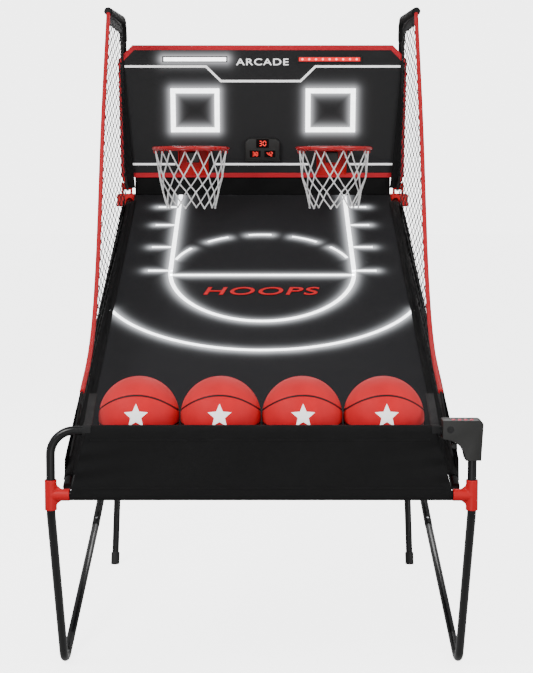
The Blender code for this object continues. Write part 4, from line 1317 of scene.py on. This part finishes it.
def build_control_box(paint):
    """The control box with its buttons, lens, knob and cable."""
    for node, rounding in (("control_box_front", 0.0035), ("control_box_back", 0.0022),
                           ("clamp_knob", 0.0015)):
        edged(node, paint["case"], BASE, rounding)
    for k in range(1, 5):
        build_button(k, paint)
    piece("control_cable_finish", tube_mesh("cable", [cable_route()], CABLE_R, 5), paint["cable"], BASE,
          ("control_cable",))
    low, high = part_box("control_box_front")
    badge = dome_mesh(0.0095, 0.0022)
    badge.transform(Matrix.Translation((low.x + 0.020, low.y + 0.0004, high.z - 0.024))
                    @ Matrix.Rotation(math.pi / 2, 4, "X"))
    piece("control_box_lens", badge, paint["webbing"], BASE)


def build_button(k, paint):
    """A soft domed button with a rolled rim."""
    low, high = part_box(f"game_button_{k}")
    middle, radius = (low + high) / 2, (high.x - low.x) / 2
    height = high.z - low.z
    profile = [(0, height), (radius * 0.35, height * 0.985), (radius * 0.70, height * 0.93),
               (radius * 0.92, height * 0.80), (radius, height * 0.62), (radius, 0), (0, 0)]
    data = turned("button", profile, 36, WELD / 2)
    data.transform(Matrix.Translation((middle.x, middle.y, low.z)))
    piece(f"game_button_{k}_cap", data, paint["button"], f"game_button_{k}",
          (f"game_button_{k}",))


def cable_route():
    """The cable's centre line, from the control box down and along below the right ramp tube."""
    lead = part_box("control_box_back")[1].z - 0.011
    route = [(0.5010, 0.0224, lead), (0.5030, 0.045, lead), (0.5200, 0.085, 0.750),
             (0.5400, 0.130, 0.700)]
    for y in (0.200, 0.600, 1.100, 1.600, HINGE.y - Y0 - 0.0670):
        route.append((0.5445, y, ramp_z(at(0, y, 0).y) - 0.014))
    return [at(*p) for p in smooth_through(route, 10)]


GROOVE_HALF, GROOVE_DEEP = 0.020, 0.0085  # in radii


def build_balls(paint):
    """Basketballs with real seam grooves pressed into the rubber."""
    for k in range(1, 5):
        low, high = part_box(f"ball_{k}")
        centre, radius = (low + high) / 2, (high.x - low.x) / 2
        work = bmesh.new()
        bmesh.ops.create_icosphere(work, subdivisions=6, radius=radius)
        for vert in work.verts:
            p = vert.co / radius
            loop = SEAM_HIGH - SEAM_FALL * p.x * p.x
            away = min(abs(abs(p.z) - loop), abs(p.y))
            vert.co *= 1 - GROOVE_DEEP * max(0.0, 1 - away / GROOVE_HALF) ** 1.5
        data = finished_mesh(work, f"ball_{k}")
        obj = bpy.data.objects.new(f"ball_{k}_rubber", data)
        bpy.context.scene.collection.objects.link(obj)
        data.materials.append(paint["ball"])
        data.shade_smooth()
        obj.location = centre
        obj.rotation_euler.x = -BALL_TILT
        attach(obj, f"ball_{k}")
        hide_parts(f"ball_{k}")
        piece(f"ball_{k}_star", star_mesh(centre, radius), paint["print_white_painted_glow"], f"ball_{k}",
              smooth=False)


def star_mesh(centre, radius, size=0.034, rings=8):
    """A plain five-pointed star printed on the ball's front, following its curve."""
    points, faces = [], []
    bends, fine = 10, 5
    around = bends * fine
    corners = []
    for k in range(bends + 1):
        reach = size if k % 2 == 0 else size * 0.45
        angle = math.pi / 2 + math.pi * k / 5
        corners.append(Vector((reach * math.cos(angle), reach * math.sin(angle))))
    for r in range(1, rings + 1):
        for k in range(around):
            spoke = corners[k // fine].lerp(corners[k // fine + 1], (k % fine) / fine)
            x, z = spoke * (r / rings)
            for lift in (0.0, 0.0004):
                out = radius - 0.0001 + lift
                points.append(centre + Vector((x, -math.sqrt(out * out - x * x - z * z), z)))
    middle = len(points)
    points += [centre + Vector((0, -(radius - 0.0001), 0)), centre + Vector((0, -(radius + 0.0003), 0))]

    def spot(r, k, lift):
        return ((r - 1) * around + k % around) * 2 + lift

    for k in range(around):
        for lift in (0, 1):
            faces.append((middle + lift, spot(1, k, lift), spot(1, k + 1, lift)))
            for r in range(1, rings):
                faces.append((spot(r, k, lift), spot(r + 1, k, lift), spot(r + 1, k + 1, lift),
                              spot(r, k + 1, lift)))
        faces.append((spot(rings, k, 0), spot(rings, k + 1, 0), spot(rings, k + 1, 1), spot(rings, k, 1)))
    data = mesh_of(points, faces, "star")
    data.transform(Matrix.Translation(centre) @ Matrix.Rotation(-BALL_TILT, 4, "X")
                   @ Matrix.Translation(-centre))
    return outward(data)


# Stage ------------------------------------------------------------------------------------------

WORLD_LIGHT = 0.50
# Each lamp's place, what it points at, its size in metres and its power in watts.
LAMPS = {"key": ((-2.6, -3.4, 3.6), (0, 0, 1.2), 2.0, 160),
         "fill": ((3.2, -2.6, 2.2), (0, 0, 1.1), 2.4, 75),
         "back": ((0.4, 3.0, 3.2), (0, 0.4, 1.4), 1.8, 60),
         "low": ((0, -3.2, 0.5), (0, -0.6, 0.7), 1.4, 10)}
CAMERA_PLACE, CAMERA_PITCH = (0.0093, -4.8104, 1.4317), 85.83
CAMERA_LENS, CAMERA_SHIFT = 77.19, (0.002, -0.0845)


def build_stage(paint):
    """Pale floor and backdrop, soft lamps, and the camera at the photograph's angle."""
    plates = (("floor", [(-40, -40, 0), (40, -40, 0), (40, 40, 0), (-40, 40, 0)]),
              ("backdrop", [(-60, 30, -20), (60, 30, -20), (60, 30, 40), (-60, 30, 40)]))
    for name, corners in plates:
        obj = bpy.data.objects.new(name, mesh_of(corners, [(0, 1, 2, 3)], name))
        bpy.context.scene.collection.objects.link(obj)
        obj.data.materials.append(paint[name])
        obj.location.z = -0.0004
        obj.visible_diffuse = obj.visible_glossy = False
        obj.visible_shadow = False
    world = bpy.data.worlds.new("studio")
    bpy.context.scene.world = world
    world.use_nodes = True
    world.node_tree.nodes["Background"].inputs["Color"].default_value = (1.0, 1.0, 1.0, 1)
    world.node_tree.nodes["Background"].inputs["Strength"].default_value = WORLD_LIGHT
    for name, (place, aim, size, power) in LAMPS.items():
        light = bpy.data.lights.new(name, "AREA")
        light.shape = "SQUARE"
        light.size, light.energy = size, power
        obj = bpy.data.objects.new(name, light)
        bpy.context.scene.collection.objects.link(obj)
        obj.location = place
        obj.rotation_euler = (Vector(aim) - Vector(place)).to_track_quat("-Z", "Y").to_euler()
    camera = bpy.data.cameras.new("camera")
    camera.sensor_width, camera.lens = 36, CAMERA_LENS
    camera.shift_x, camera.shift_y = CAMERA_SHIFT
    eye = bpy.data.objects.new("camera", camera)
    bpy.context.scene.collection.objects.link(eye)
    eye.location = CAMERA_PLACE
    eye.rotation_euler = (math.radians(CAMERA_PITCH), 0, 0)
    bpy.context.scene.camera = eye


def build():
    paint = make_paints()
    build_stage(paint)
    build_tubes(paint)
    build_fittings(paint)
    build_playfield(paint)
    build_board(paint)
    build_hoops(paint)
    for side, label in SIDES:
        build_side_net(side, label, paint)
    build_front_panel(paint)
    build_skirt(paint)
    build_straps(paint)
    build_control_box(paint)
    build_balls(paint)


build()
